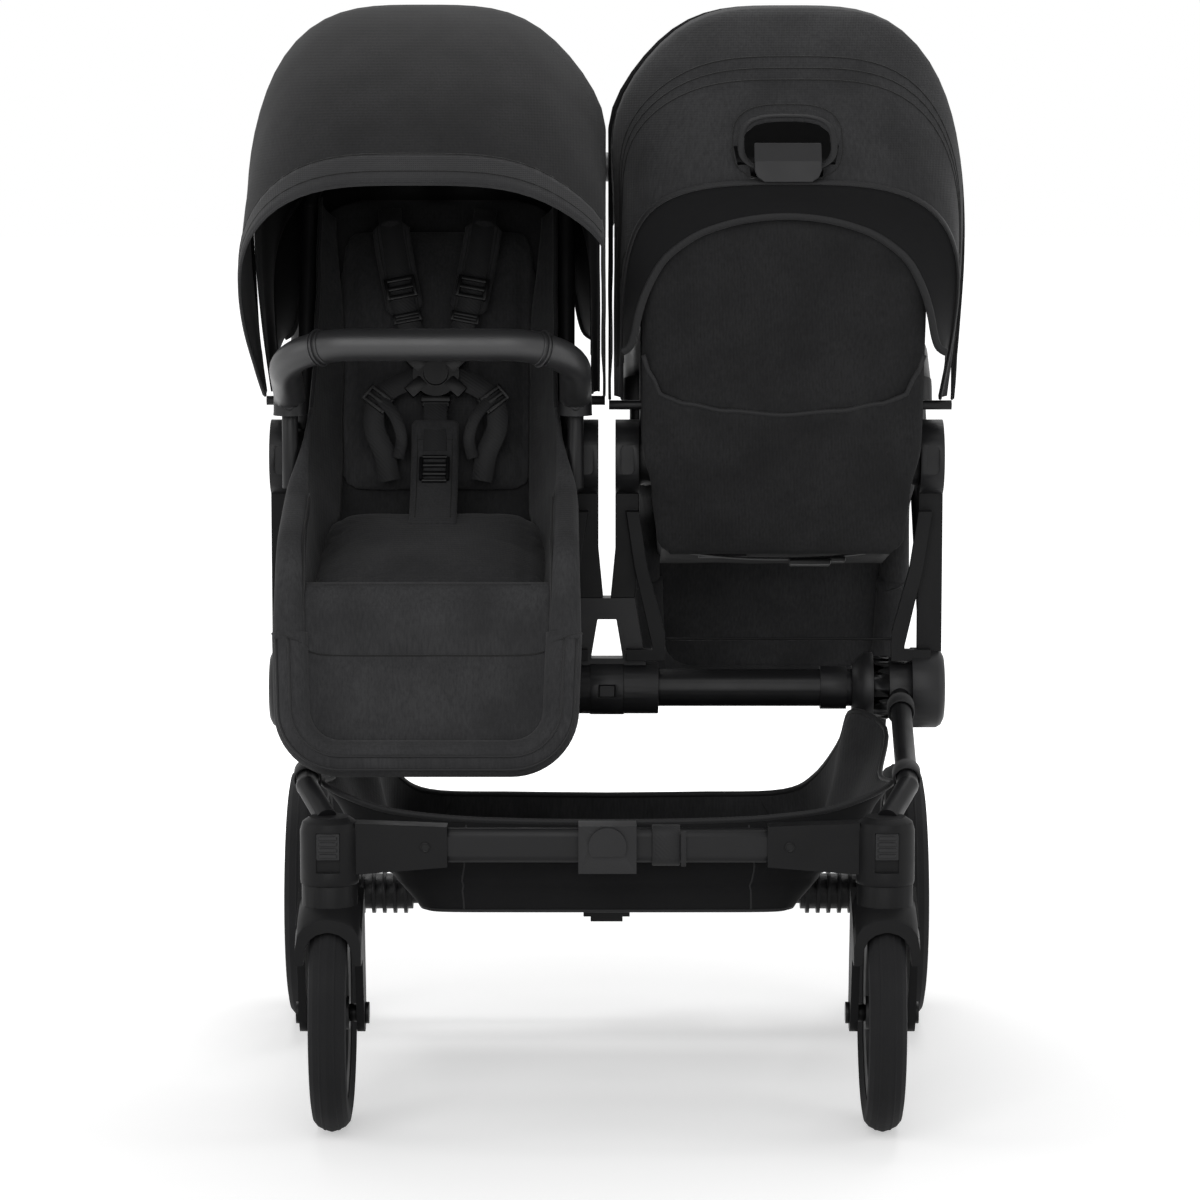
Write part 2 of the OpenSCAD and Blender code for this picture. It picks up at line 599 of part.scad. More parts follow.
module bumper() color("#26221f") difference() {
  union() {
    translate([0, 60, bar_post + 20]) rotate([26.6, 0, 0]) u_bend(post_x, bumper_d / 2, 0, 141, 72);
    for (s = [-1, 1]) translate([s * post_x, 60, bar_post + gap]) cylinder(r = bumper_d / 2 + 1, h = 38);
  }
  translate([post_x, 60, bar_post - 2]) cylinder(r = 4 + fit, h = 28);
}

// Recline lever on a slotted block that slides up on the top of the rail
module recline() color("#1e1e20") difference() {
  union() {
    box([-20, -166, top_z - 20], [20, -136, top_z + 16]);
    box([-20, -202, top_z - 5], [20, -160, top_z + 5]);
    intersection() {
      yz(-34, 34) polygon([[-198, top_z - 10], [-206, top_z - 10], [-201, top_z + 11], [-190, top_z + 29],
        [-183, top_z + 29]]);
      xz(-208, -180) polygon([[-34, top_z + 30], [-34, top_z + 2], [-31, top_z - 5], [-24, top_z - 10],
        [24, top_z - 10], [31, top_z - 5], [34, top_z + 2], [34, top_z + 30]]);
    }
  }
  xcyl(-21, 21, rail_r + fit, -150, top_z);
  xcyl(-21, 21, rail_r + fit, -150, top_z - lever_up);
  box([-21, -150 - rail_r - fit, top_z - lever_up], [21, rail_r + fit - 150, top_z]);
}

module harness() color("#0f0f10") back_plane() {
  both() box([25.3, buckle_y - 24, pad_t + 6.8], [62, 236, pad_t + 10.8]);
  box([-25, -30, pad_t + 6.8], [25, buckle_y - 25.2, pad_t + 10.8]);
}

module buckle() color("#1e1e20") back_plane() translate([0, buckle_y, pad_t + 8]) difference() {
  cylinder(r = 25, h = 16);
  translate([0, 0, 8]) cylinder(r = 13 + gap, h = 10);
}

module buckle_button() color("#333335") back_plane() translate([0, buckle_y, pad_t + 20])
  cylinder(r = 13, h = 7);

main_cross_tube();
centre_sleeve();
centre_button();
centre_bracket();
hub_covers();
front_legs();
front_crossbar();
crossbar_latch();
fork_housings();
mirror([1, 0, 0]) swivel_lock();  // swivel_lock_left
swivel_lock();  // swivel_lock_right
basket();
seat_arms_outer();
seat_arms_inner();
seat_pods();
push_tubes();
push_collars();
handlebar();
grip();
mirror([1, 0, 0]) fork();  // fork_left
fork();  // fork_right
mirror([1, 0, 0]) front_tyre();  // front_tyre_left
front_tyre();  // front_tyre_right
mirror([1, 0, 0]) front_rim();  // front_rim_left
front_rim();  // front_rim_right
mirror([1, 0, 0]) front_axle();  // front_axle_left
front_axle();  // front_axle_right
rear_legs();
rear_axle();
mirror([1, 0, 0]) rear_tyre();  // rear_tyre_left
rear_tyre();  // rear_tyre_right
mirror([1, 0, 0]) rear_rim();  // rear_rim_left
rear_rim();  // rear_rim_right
brake_pedal();
seat(-1) seat_frame();  // seat_frame_left
seat(-1) back_cover();  // back_cover_left
seat(-1) backrest();  // backrest_left
seat(-1) cushion();  // cushion_left
seat(-1) liner();  // liner_left
seat(-1) footrest();  // footrest_left
seat(-1) canopy_rear();  // canopy_rear_left
seat(-1) canopy_front();  // canopy_front_left
seat(-1) bumper();  // bumper_left
seat(-1) recline();  // recline_left
seat(-1) harness();  // harness_left
seat(-1) buckle();  // buckle_left
seat(-1) buckle_button();  // button_left
seat(1) seat_frame();  // seat_frame_right
seat(1) back_cover();  // back_cover_right
seat(1) backrest();  // backrest_right
seat(1) cushion();  // cushion_right
seat(1) liner();  // liner_right
seat(1) footrest();  // footrest_right
seat(1) canopy_rear();  // canopy_rear_right
seat(1) canopy_front();  // canopy_front_right
seat(1) bumper();  // bumper_right
seat(1) recline();  // recline_right
seat(1) harness();  // harness_right
seat(1) buckle();  // buckle_right
seat(1) buckle_button();  // button_right
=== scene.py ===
import math

import bmesh
import bpy
from mathutils import Matrix, Vector, noise


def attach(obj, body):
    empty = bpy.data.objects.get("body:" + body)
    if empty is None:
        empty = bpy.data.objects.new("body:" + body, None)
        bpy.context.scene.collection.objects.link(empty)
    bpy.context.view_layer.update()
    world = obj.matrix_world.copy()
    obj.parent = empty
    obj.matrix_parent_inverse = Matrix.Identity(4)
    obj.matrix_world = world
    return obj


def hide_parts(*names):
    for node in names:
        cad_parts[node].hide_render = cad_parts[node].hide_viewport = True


bl_info = {
    "name": "Double stroller dressing",
    "version": (1, 0, 0),
    "blender": (4, 5, 0),
    "location": "View3D > Sidebar > Stroller",
    "description": "Cloth, padding, webbing and finishes for a side by side double stroller",
    "category": "Object",
}

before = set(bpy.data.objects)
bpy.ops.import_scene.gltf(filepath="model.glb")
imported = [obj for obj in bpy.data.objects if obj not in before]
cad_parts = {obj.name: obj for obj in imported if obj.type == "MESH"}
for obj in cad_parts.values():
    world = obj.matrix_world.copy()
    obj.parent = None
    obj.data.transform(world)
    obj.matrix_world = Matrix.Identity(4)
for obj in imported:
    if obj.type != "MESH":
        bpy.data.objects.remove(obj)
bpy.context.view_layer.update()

# Places shared with the solids, in millimetres
SEAT_X, SEAT_Y, SEAT_Z = 183.0, -50.0, 657.0
HOOD_F, HOOD_Z = -30.0, 715.0
BACK_TILT, SEAT_TILT = math.radians(18.7), math.radians(11.5)
KNEE, TOE = (215.0, 585.0), (279.0, 386.0)
LEG_A = math.atan2(TOE[1] - KNEE[1], TOE[0] - KNEE[0])
RAIL_X = 140.0
POST_X, POST_F, POST_Z = 150.0, 60.0, 706.0
BAR_Y, BAR_Z = -385.0, 298.5
SIDES = {"left": -1, "right": 1}
HERE = Matrix.Identity(4)


def lerp(a, b, t):
    """A value between a and b."""
    return a + (b - a) * t


def smooth(t):
    """Eased step from 0 to 1."""
    t = min(1.0, max(0.0, t))
    return t * t * (3 - 2 * t)


def bell(x, middle, width):
    """Rounded hump of height 1 about a middle."""
    return math.exp(-((x - middle) / width) ** 2)


def curve(points, t):
    """Point at t from 0 to 1 on a smooth line through the points."""
    n = len(points) - 1
    k = min(int(t * n), n - 1)
    u = t * n - k
    p = [points[min(max(k + i, 0), n)] for i in (-1, 0, 1, 2)]
    return tuple(0.5 * (2 * b + (c - a) * u + (2 * a - 5 * b + 4 * c - d) * u * u
                        + (3 * b - a - 3 * c + d) * u ** 3) for a, b, c, d in zip(*p))


def line(points, n):
    """n + 1 points along a smooth line."""
    return [Vector(curve(points, i / n)) for i in range(n + 1)]


def table(pairs, x):
    """Value between the pairs of a small table."""
    if x <= pairs[0][0]:
        return pairs[0][1]
    for (a, p), (b, q) in zip(pairs, pairs[1:]):
        if x <= b:
            return lerp(p, q, smooth((x - a) / (b - a)))
    return pairs[-1][1]


def circle(n, shift=0.0):
    """Cosine and sine at n even steps round a circle."""
    return [(math.cos(t), math.sin(t)) for t in (2 * math.pi * (k + shift) / n for k in range(n))]


def grid(m, n, at):
    """Rows of the points at(u, v), u from 0 to 1 along each row in n steps and v over the rows in m."""
    return [[at(i / n, j / m) for i in range(n + 1)] for j in range(m + 1)]


def on_back(x, up, out):
    """Seat point on the plane of the backrest, up along it and out to the front."""
    s, c = math.sin(BACK_TILT), math.cos(BACK_TILT)
    return Vector((x, -60 - up * s + out * c, SEAT_Z + up * c + out * s))


def on_seat(x, ahead, out):
    """Seat point on the plane of the seat pan, ahead along it and out upwards."""
    s, c = math.sin(SEAT_TILT), math.cos(SEAT_TILT)
    return Vector((x, -8 + ahead * c + out * s, 567 - ahead * s + out * c))


def on_foot(x, down, out):
    """Seat point on the plane of the footrest, down along it and out to the front."""
    s, c = math.sin(LEG_A), math.cos(LEG_A)
    return Vector((x, KNEE[0] + down * c - out * s, KNEE[1] + down * s + out * c))


def outward(plane):
    """Direction out of one of these planes."""
    return plane(0, 0, 1) - plane(0, 0, 0)


def seats():
    """Each side, its seat frame in the row frame (left turned to the front) and the name of its body."""
    for side, s in SIDES.items():
        turn = Matrix.Rotation(math.pi if s < 0 else 0, 4, "Z")
        yield side, Matrix.Translation((s * SEAT_X, SEAT_Y, 0)) @ turn, "seat_" + side


def skins(rows, thick, ring=False):
    """Points of a grid moved to both sides by half a thickness. A ring's rows close on themselves."""
    m, n = len(rows), len(rows[0])
    tops, lows = [], []
    for j, row in enumerate(rows):
        for i, p in enumerate(row):
            a = rows[min(j + 1, m - 1)][i] - rows[max(j - 1, 0)][i]
            b = row[(i + 1) % n] - row[i - 1] if ring else row[min(i + 1, n - 1)] - row[max(i - 1, 0)]
            k = b.cross(a)
            k = k.normalized() * thick / 2 if k.length > 1e-9 else Vector((0, 0, 0))
            tops.append(p + k)
            lows.append(p - k)
    return tops, lows


class Form:
    """Points and faces of one piece, in millimetres. Faces of the second kind take the second finish."""

    def __init__(self):
        self.points, self.faces, self.kinds = [], [], []

    def add(self, points, faces, kinds=None):
        """Adds points, and faces that count from the first of them."""
        base = len(self.points)
        self.points += [Vector(p) for p in points]
        self.faces += [[base + i for i in f] for f in faces]
        self.kinds += kinds or [0] * len(faces)
        return self

    def shell(self, tops, lows, n, keep=None):
        """Closed form between two grids with n points to a row, without the cells that keep refuses."""
        total = len(tops)
        faces, kinds, edges = [], [], set()
        for j in range(total // n - 1):
            for i in range(n - 1):
                if keep and not keep(j, i):
                    continue
                q = [j * n + i, j * n + i + 1, (j + 1) * n + i + 1, (j + 1) * n + i]
                faces += [q, [total + k for k in reversed(q)]]
                kinds += [1, 0]
                edges |= {(q[k], q[(k + 1) % 4]) for k in range(4)}
        rim = [[b, a, a + total, b + total] for a, b in sorted(edges) if (b, a) not in edges]
        return self.add(tops + lows, faces + rim, kinds + [0] * len(rim))

    def sheet(self, rows, thick, keep=None):
        """Closed cloth over a grid of points, thick to both sides of it."""
        return self.shell(*skins(rows, thick), len(rows[0]), keep)

    def bag(self, rows, thick):
        """Closed cloth over rings of points, from the rim down the walls and over the floor to its middle."""
        tops, lows = skins(rows, thick, ring=True)
        n, total = len(rows[0]), len(tops)
        faces, kinds = [], []
        for i in range(n):
            k = (i + 1) % n
            for j in range(0, total - n, n):
                q = [j + i, j + k, j + n + k, j + n + i]
                faces += [q, [total + p for p in reversed(q)]]
                kinds += [0, 1]
            faces.append([k, i, i + total, k + total])
            kinds.append(0)
        floor = range(total - n, total)
        return self.add(tops + lows, faces + [list(floor), [total + i for i in reversed(floor)]], kinds + [0, 1])

    def tube(self, points, m, closed=False):
        """Skin over rings of m points each, with flat ends unless it closes on itself."""
        n = len(points) // m
        faces = [[k * m + i, k * m + (i + 1) % m, (k + 1) % n * m + (i + 1) % m, (k + 1) % n * m + i]
                 for k in range(n if closed else n - 1) for i in range(m)]
        if not closed:
            faces += [list(reversed(range(m))), [(n - 1) * m + i for i in range(m)]]
        return self.add(points, faces)

    def sweep(self, path, section, out, closed=False, size=None):
        """Section of (across, out) pairs carried along a path, out being the side it faces."""
        n, points = len(path), []
        for k, p in enumerate(path):
            ahead = path[(k + 1) % n] if closed or k < n - 1 else p
            behind = path[k - 1] if closed or k > 0 else p
            t = (ahead - behind).normalized()
            across = t.cross(Vector(out[k] if isinstance(out, list) else out))
            across = across.normalized() if across.length > 1e-6 else Vector((1, 0, 0))
            o = across.cross(t)
            f = size(k / (n - 1)) if size else 1
            points += [p + (across * a + o * b) * f for a, b in section]
        return self.tube(points, len(section), closed)

    def block(self, place, size, bevel):
        """Box with rounded edges, size along its own axes, set by a matrix."""
        b = bmesh.new()
        bmesh.ops.create_cube(b, size=1, matrix=Matrix.Diagonal((*size, 1)))
        bmesh.ops.bevel(b, geom=list(b.edges), offset=bevel, segments=2, profile=0.6, affect="EDGES")
        b.verts.index_update()
        self.add([place @ v.co for v in b.verts], [[v.index for v in f.verts] for f in b.faces])
        b.free()
        return self

    def screw(self, at, ahead, ring, section, head, low, high):
        """Round screw head that faces ahead, with a raised ring about it."""
        place = facing(at, ahead, (0, 0, 1))
        edge = [place @ Vector((ring * c, ring * s, 0)) for c, s in circle(24)]
        self.sweep(edge, section, ahead, closed=True)
        return self.sweep([place @ Vector((0, 0, z)) for z in (low, high)], oval(head, head, 16), (0, 0, 1))


def oval(a, b, n=12, power=1.0):
    """Section with half axes a across and b out, fuller corners as power falls below 1."""
    return [(a * math.copysign(abs(c) ** power, c), b * math.copysign(abs(s) ** power, s)) for c, s in circle(n)]


def tape(w, t):
    """Section of a flat strap of width w and thickness t with soft edges."""
    e = min(t * 0.45, w * 0.2)
    x, y = w / 2, t / 2
    return [(-x, -y + e), (-x + e, -y), (x - e, -y), (x, -y + e), (x, y - e), (x - e, y), (-x + e, y), (-x, y - e)]


def facing(at, ahead, up):
    """Matrix of a small part at a point, its Z ahead and its Y up."""
    z = Vector(ahead).normalized()
    x = Vector(up).cross(z).normalized()
    m = Matrix((x, z.cross(x), z)).transposed().to_4x4()
    m.translation = Vector(at)
    return m


def linear(code):
    """sRGB hex to a linear colour."""
    c = [int(code[i:i + 2], 16) / 255 for i in (1, 3, 5)]
    return [x / 12.92 if x <= 0.04045 else ((x + 0.055) / 1.055) ** 2.4 for x in c]


def colour_prop(label, about, code):
    """Colour that a user may change."""
    return bpy.props.FloatVectorProperty(name=label, description=about, subtype="COLOR", size=3, min=0, max=1,
                                         default=linear(code))


def size_prop(label, about, value):
    """Length that a user may change, in metres."""
    return bpy.props.FloatProperty(name=label, description=about, default=value, min=0, soft_max=1, precision=4,
                                   unit="LENGTH")


class StrollerColours(bpy.types.PropertyGroup):
    """Colours of the finishes."""
    canvas: colour_prop("Canvas", "Black woven polyester of the seats and canopies", "#262627")
    canvas_light: colour_prop("Canvas thread", "Lighter thread in the canvas", "#353536")
    hem: colour_prop("Hem", "Grosgrain band along the canopy rim", "#303031")
    lining: colour_prop("Lining", "Inside cloth of the canopies and the basket", "#151516")
    webbing: colour_prop("Webbing", "Harness straps and bindings", "#202021")
    leather: colour_prop("Leatherette", "Bumper bar and grip cover", "#2b2b2c")
    plastic: colour_prop("Moulded plastic", "Hubs, pods, housings and buckles", "#1c1c1d")
    tube: colour_prop("Painted tube", "Powder coated aluminium of the frame", "#161617")
    tyre: colour_prop("Tyre", "Foamed tyre", "#1d1d1e")
    thread: colour_prop("Thread", "Sewing thread", "#161616")


class StrollerSizes(bpy.types.PropertyGroup):
    """Sizes of the cloth and trim."""
    cloth: size_prop("Cloth thickness", "Thickness of canvas and lining together", 0.0022)
    hem: size_prop("Hem width", "Width of the band along the canopy rim", 0.034)
    piping: size_prop("Piping radius", "Radius of the piping and bindings", 0.0016)
    sag: size_prop("Canopy sag", "Depth to which canvas falls in between two bows", 0.005)
    flare: size_prop("Canopy flare", "How far the outer side of a canopy stands out", 0.0145)
    strap: size_prop("Strap width", "Width of the harness webbing", 0.025)
    swell: size_prop("Pad swell", "Most that a pad may swell in the cloth simulation", 0.009)


def node(tree, kind, inputs=None, **settings):
    """Adds a node with its settings, and its inputs as values or as sockets to link."""
    n = tree.nodes.new(kind)
    for key, value in settings.items():
        setattr(n, key, value)
    for key, value in (inputs or {}).items():
        if isinstance(value, bpy.types.NodeSocket):
            tree.links.new(value, n.inputs[key])
        else:
            n.inputs[key].default_value = value
    return n


def start_finish(name, roughness, **sockets):
    """Material with its shader and object coordinates, and constants on the shader's own sockets."""
    m = bpy.data.materials.new(name)
    m.use_nodes = True
    shader = m.node_tree.nodes["Principled BSDF"]
    shader.inputs["Roughness"].default_value = roughness
    for key, value in sockets.items():
        shader.inputs[key.replace("_", " ")].default_value = value
    return m, m.node_tree, shader, node(m.node_tree, "ShaderNodeTexCoord").outputs["Object"]


def per_mm(pitch):
    """Scale of a noise whose grains are about pitch millimetres."""
    return 1000.0 / pitch


def bands(pitch):
    """Scale of a wave texture with one band each pitch millimetres."""
    return 314.16 / pitch


def two_tone(tree, shader, factor, dark, light):
    """Base colour that runs between two colours."""
    mix = node(tree, "ShaderNodeMix", {"Factor": factor, 6: (*dark, 1.0), 7: (*light, 1.0)}, data_type="RGBA")
    tree.links.new(mix.outputs[2], shader.inputs["Base Color"])


def relief(tree, shader, height, strength, depth):
    """Bump of a depth in metres."""
    bump = node(tree, "ShaderNodeBump", {"Height": height, "Strength": strength, "Distance": depth})
    tree.links.new(bump.outputs[0], shader.inputs["Normal"])


def woven(name, dark, light, roughness, thread, streak, depth, sheen):
    """Plain weave: crossed threads for the bump, uneven yarn for the colour. Threads are drawn coarser than
    the real 0.4 mm, because the picture has about one pixel to a millimetre."""
    m, tree, shader, at = start_finish(name, roughness, Sheen_Weight=sheen, Sheen_Roughness=0.5,
                                       Specular_IOR_Level=0.12)
    yarn = node(tree, "ShaderNodeMapping", {"Vector": at, "Scale": (1, 1, 1 / streak)})
    slub = node(tree, "ShaderNodeTexNoise", {"Vector": yarn.outputs[0], "Scale": per_mm(thread * 1.6), "Detail": 3.0,
                                             "Roughness": 0.65})
    worn = node(tree, "ShaderNodeTexNoise", {"Vector": at, "Scale": per_mm(60), "Detail": 2.0})
    both = node(tree, "ShaderNodeMath", {0: slub.outputs["Fac"], 1: worn.outputs["Fac"], 2: 0.02},
                operation="MULTIPLY_ADD")
    ramp = node(tree, "ShaderNodeMapRange", {"Value": both.outputs[0], "From Min": 0.12, "From Max": 0.42})
    two_tone(tree, shader, ramp.outputs[0], dark, light)
    rough = slub.outputs["Fac"]
    for way in ("X", "Z"):
        wave = node(tree, "ShaderNodeTexWave", {"Vector": at, "Scale": bands(thread), "Distortion": 0.6},
                    bands_direction=way)
        rough = node(tree, "ShaderNodeMath", {0: wave.outputs["Fac"], 1: rough}, operation="ADD").outputs[0]
    relief(tree, shader, rough, 0.35, depth)
    return m


def ribbed(name, dark, light, roughness, pitch, depth):
    """Narrow woven tape with ribs along its length, a little shiny where the yarn lies flat."""
    m, tree, shader, at = start_finish(name, roughness, Sheen_Weight=0.06, Specular_IOR_Level=0.2)
    rib = node(tree, "ShaderNodeTexWave", {"Vector": at, "Scale": bands(pitch), "Distortion": 1.2, "Detail": 2.0},
               bands_direction="DIAGONAL")
    grain = node(tree, "ShaderNodeTexNoise", {"Vector": at, "Scale": per_mm(2.2), "Detail": 3.0})
    two_tone(tree, shader, grain.outputs["Fac"], dark, light)
    relief(tree, shader, rib.outputs["Fac"], 0.3, depth)
    return m


def pebbled(name, base, roughness, grain, depth, wear, shine):
    """Fine grain over a whole skin: spark-eroded moulding, powder coat, foam or pressed leatherette, with the
    finish rubbed a little lighter on edges and in large soft patches."""
    m, tree, shader, at = start_finish(name, roughness, Specular_IOR_Level=shine)
    cells = node(tree, "ShaderNodeTexVoronoi", {"Vector": at, "Scale": per_mm(grain)})
    soft = node(tree, "ShaderNodeTexNoise", {"Vector": at, "Scale": per_mm(45), "Detail": 4.0})
    edge = node(tree, "ShaderNodeNewGeometry").outputs["Pointiness"]
    rub = node(tree, "ShaderNodeMapRange", {"Value": edge, "From Min": 0.52, "From Max": 0.62})
    part = node(tree, "ShaderNodeMath", {0: rub.outputs[0], 1: soft.outputs["Fac"]}, operation="MULTIPLY")
    two_tone(tree, shader, part.outputs[0], base, times(base, 1 + wear))
    gloss = node(tree, "ShaderNodeMapRange", {"Value": soft.outputs["Fac"], "From Min": 0.3, "From Max": 0.7,
                                              "To Min": roughness - 0.06, "To Max": roughness + 0.06})
    tree.links.new(gloss.outputs[0], shader.inputs["Roughness"])
    relief(tree, shader, cells.outputs["Distance"], 0.25, depth)
    return m


def times(colour, k):
    """A colour made lighter or darker."""
    return [c * k for c in colour]


def make_finishes():
    """All finishes of the stroller by short name."""
    c = bpy.context.scene.stroller_colours

    def canvas(name, k, roughness, thread, streak, depth, sheen):
        """Canvas whose two threads are k times as light as the plain one's."""
        return woven(name, times(c.canvas, k), times(c.canvas_light, k), roughness, thread, streak, depth, sheen)

    return {
        # Plain woven polyester, dyed through: matt, with a faint upright streak from uneven yarn
        "canvas": canvas("polyester canvas", 1, 0.86, 1.5, 7.0, 0.0004, 0.05),
        # Canvas of the canopies and backs: the same canvas with painted shade, its colours 0.6 times as light
        "shade": canvas("polyester canvas painted darker for shade", 0.6, 0.86, 1.5, 7.0, 0.0004, 0.04),
        # Canvas of the seat's front and rolls: the same canvas with painted light, its colours 1.2 times as light, for
        # parts that face forward and up
        "roll": canvas("polyester canvas painted lighter for forward faces", 1.2, 0.88, 1.5, 7.0, 0.0004, 0.06),
        # Canvas of the canopy's rear panel: the same canvas with painted light, lighter than the canopy's front sheet,
        # for a panel that faces upward; its threads a little coarser and its streaks longer
        "panel": canvas("polyester canvas painted lighter for upward faces", 1.05, 0.86, 1.7, 8.0, 0.0005, 0.06),
        # Corded tape: a shade lighter than the canvas, because its yarn is thicker and shinier
        "hem": woven("grosgrain hem", times(c.hem, 0.9), times(c.hem, 1.15), 0.78, 2.0, 1.0, 0.0005, 0.08),
        # Smooth taffeta: darker and flatter than the canvas
        "lining": woven("taffeta lining", times(c.lining, 0.8), c.lining, 0.8, 1.0, 3.0, 0.0002, 0.03),
        # Nylon webbing: close ribs and a slight shine
        "webbing": ribbed("nylon webbing", times(c.webbing, 0.75), c.webbing, 0.62, 2.4, 0.0004),
        # Pressed polyurethane skin: pebble grain with a broad soft highlight
        "leather": pebbled("leatherette", c.leather, 0.42, 1.8, 0.0003, 0.3, 0.45),
        # Glass filled nylon moulding: fine spark texture, lighter on rubbed edges
        "plastic": pebbled("moulded nylon", c.plastic, 0.46, 1.2, 0.0002, 0.9, 0.22),
        # Acetal moulding of buckles: smoother and glossier, and deeper black
        "acetal": pebbled("acetal buckle", times(c.plastic, 0.32), 0.36, 1.5, 0.0001, 0.9, 0.16),
        # Glass filled nylon of the swivels: the same spark texture in a deeper black
        "nylon": pebbled("dark moulded nylon", times(c.plastic, 0.5), 0.5, 1.2, 0.0002, 0.9, 0.12),
        # Powder coat on aluminium: satin with a faint orange peel
        "tube": pebbled("powder coated aluminium", c.tube, 0.42, 1.6, 0.00015, 0.5, 0.18),
        # Foamed EVA tyre: dull, pitted
        "tyre": pebbled("foam tyre", c.tyre, 0.8, 2.4, 0.0005, 0.6, 0.15),
        # Spun polyester thread: matt and a shade off the cloth
        "thread": ribbed("sewing thread", times(c.thread, 0.8), c.thread, 0.7, 1.6, 0.0003),
    }


FINISHES = {}


def finish(key):
    """A finish by its short name, made when the first piece asks for one."""
    if not FINISHES:
        FINISHES.update(make_finishes())
    return FINISHES[key]


def piece(name, form, key, body, place=HERE, crease=0, divide=0, inside=None):
    """Object from a form, in metres in the row frame, with its finish, riding on a body."""
    mesh = bpy.data.meshes.new(name)
    mesh.from_pydata([(place @ p) * 0.001 for p in form.points], [], form.faces)
    mesh.materials.append(finish(key))
    if inside:
        mesh.materials.append(finish(inside))
        mesh.polygons.foreach_set("material_index", form.kinds)
    b = bmesh.new()
    b.from_mesh(mesh)
    bmesh.ops.remove_doubles(b, verts=b.verts, dist=1e-6)
    bmesh.ops.delete(b, geom=[v for v in b.verts if not v.link_faces], context="VERTS")
    bmesh.ops.recalc_face_normals(b, faces=b.faces)
    b.to_mesh(mesh)
    b.free()
    mesh.shade_smooth()
    if crease:
        mesh.set_sharp_from_angle(angle=math.radians(crease))
    obj = bpy.data.objects.new(name, mesh)
    bpy.context.scene.collection.objects.link(obj)
    if divide:
        mod = obj.modifiers.new("Subdivision", "SUBSURF")
        mod.levels = mod.render_levels = divide
    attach(obj, body)
    return obj


def cloth(obj, rows, held, rests_on, with_pieces):
    """Works out the width, length and area of a sheet's cut, in metres, and keeps none of them."""
    wide = max(sum((b - a).length for a, b in zip(r, r[1:])) for r in rows)
    long = max(sum((b - a).length for a, b in zip(r, r[1:])) for r in zip(*rows))
    area = 0.0
    for above, below in zip(rows, rows[1:]):
        for a, b, c, d in zip(above, above[1:], below[1:], below):
            area += ((b - a).cross(c - a).length + (c - a).cross(d - a).length) / 2
    wide, long, area = wide * 0.001, long * 0.001, area * 1e-6


def seen_rays(tree):
    """Socket that is 1 for rays from the camera, in a gloss or through glass."""
    path = node(tree, "ShaderNodeLightPath")
    seen = path.outputs["Is Camera Ray"]
    for kind in ("Is Glossy Ray", "Is Transmission Ray"):
        seen = node(tree, "ShaderNodeMath", {0: seen, 1: path.outputs[kind]}, operation="MAXIMUM").outputs[0]
    return seen


LAMPS = (("front softbox", 84, 3.2, (-0.5, -4.0, 2.4), (0, 0, 0.6)),
         ("top softbox", 62, 2.4, (0.1, 1.3, 3.4), (0, -0.1, 0.6)),
         ("left strip", 16, 1.6, (-3.0, -1.0, 1.4), (0, 0, 0.6)),
         ("right strip", 16, 1.6, (3.0, -1.0, 1.4), (0, 0, 0.6)))


class STROLLER_OT_stage(bpy.types.Operator):
    """Camera, pale floor, soft lamps and white surroundings"""
    bl_idname = "stroller.stage"
    bl_label = "Stage"

    def execute(self, context):
        scene = context.scene
        scene.view_settings.view_transform = "Standard"
        lens = bpy.data.cameras.new("camera")
        lens.lens, lens.sensor_width, lens.clip_end = 133.74, 36, 60
        eye = bpy.data.objects.new("camera", lens)
        eye.location = (-0.0074, -4.779, 1.1)
        eye.rotation_euler = (math.radians(90 - 7.19), 0, 0)
        scene.collection.objects.link(eye)
        scene.camera = eye
        for name, power, size, at, aim in LAMPS:
            lamp = bpy.data.lights.new(name, "AREA")
            lamp.energy, lamp.size = power, size
            obj = bpy.data.objects.new(name, lamp)
            obj.location = at
            obj.rotation_euler = (Vector(aim) - Vector(at)).to_track_quat("-Z", "Y").to_euler()
            scene.collection.objects.link(obj)
        world = bpy.data.worlds.new("white room")
        scene.world = world
        world.use_nodes = True
        tree = world.node_tree
        tree.nodes.clear()
        strength = node(tree, "ShaderNodeMapRange", {"Value": seen_rays(tree), "To Min": 0.3, "To Max": 1.0})
        back = node(tree, "ShaderNodeBackground", {"Color": (1, 1, 1, 1), "Strength": strength.outputs[0]})
        node(tree, "ShaderNodeOutputWorld", {"Surface": back.outputs[0]})
        bpy.ops.mesh.primitive_plane_add(size=40)
        floor = context.object
        floor.name = "floor"
        m = bpy.data.materials.new("white paper floor")
        m.use_nodes = True
        tree = m.node_tree
        tree.nodes.clear()
        # White paper: no shine, the shadow stays in it near the wheels, and far off it is as white as the room
        away = node(tree, "ShaderNodeVectorMath", {0: node(tree, "ShaderNodeTexCoord").outputs["Object"]},
                    operation="LENGTH")
        far = node(tree, "ShaderNodeMapRange", {"Value": away.outputs["Value"], "From Min": 0.75, "From Max": 1.5},
                   interpolation_type="SMOOTHSTEP")
        base = node(tree, "ShaderNodeMapRange", {"Value": far.outputs[0], "To Min": 0.44, "To Max": 1.0})
        glow = node(tree, "ShaderNodeMath", {0: seen_rays(tree), 1: base.outputs[0]}, operation="MULTIPLY")
        shine = node(tree, "ShaderNodeEmission", {"Color": (1, 1, 1, 1), "Strength": glow.outputs[0]})
        paper = node(tree, "ShaderNodeBsdfDiffuse", {"Color": (0.76, 0.76, 0.76, 1)})
        total = node(tree, "ShaderNodeAddShader", {0: shine.outputs[0], 1: paper.outputs[0]})
        node(tree, "ShaderNodeOutputMaterial", {"Surface": total.outputs[0]})
        floor.data.materials.append(m)
        return {"FINISHED"}


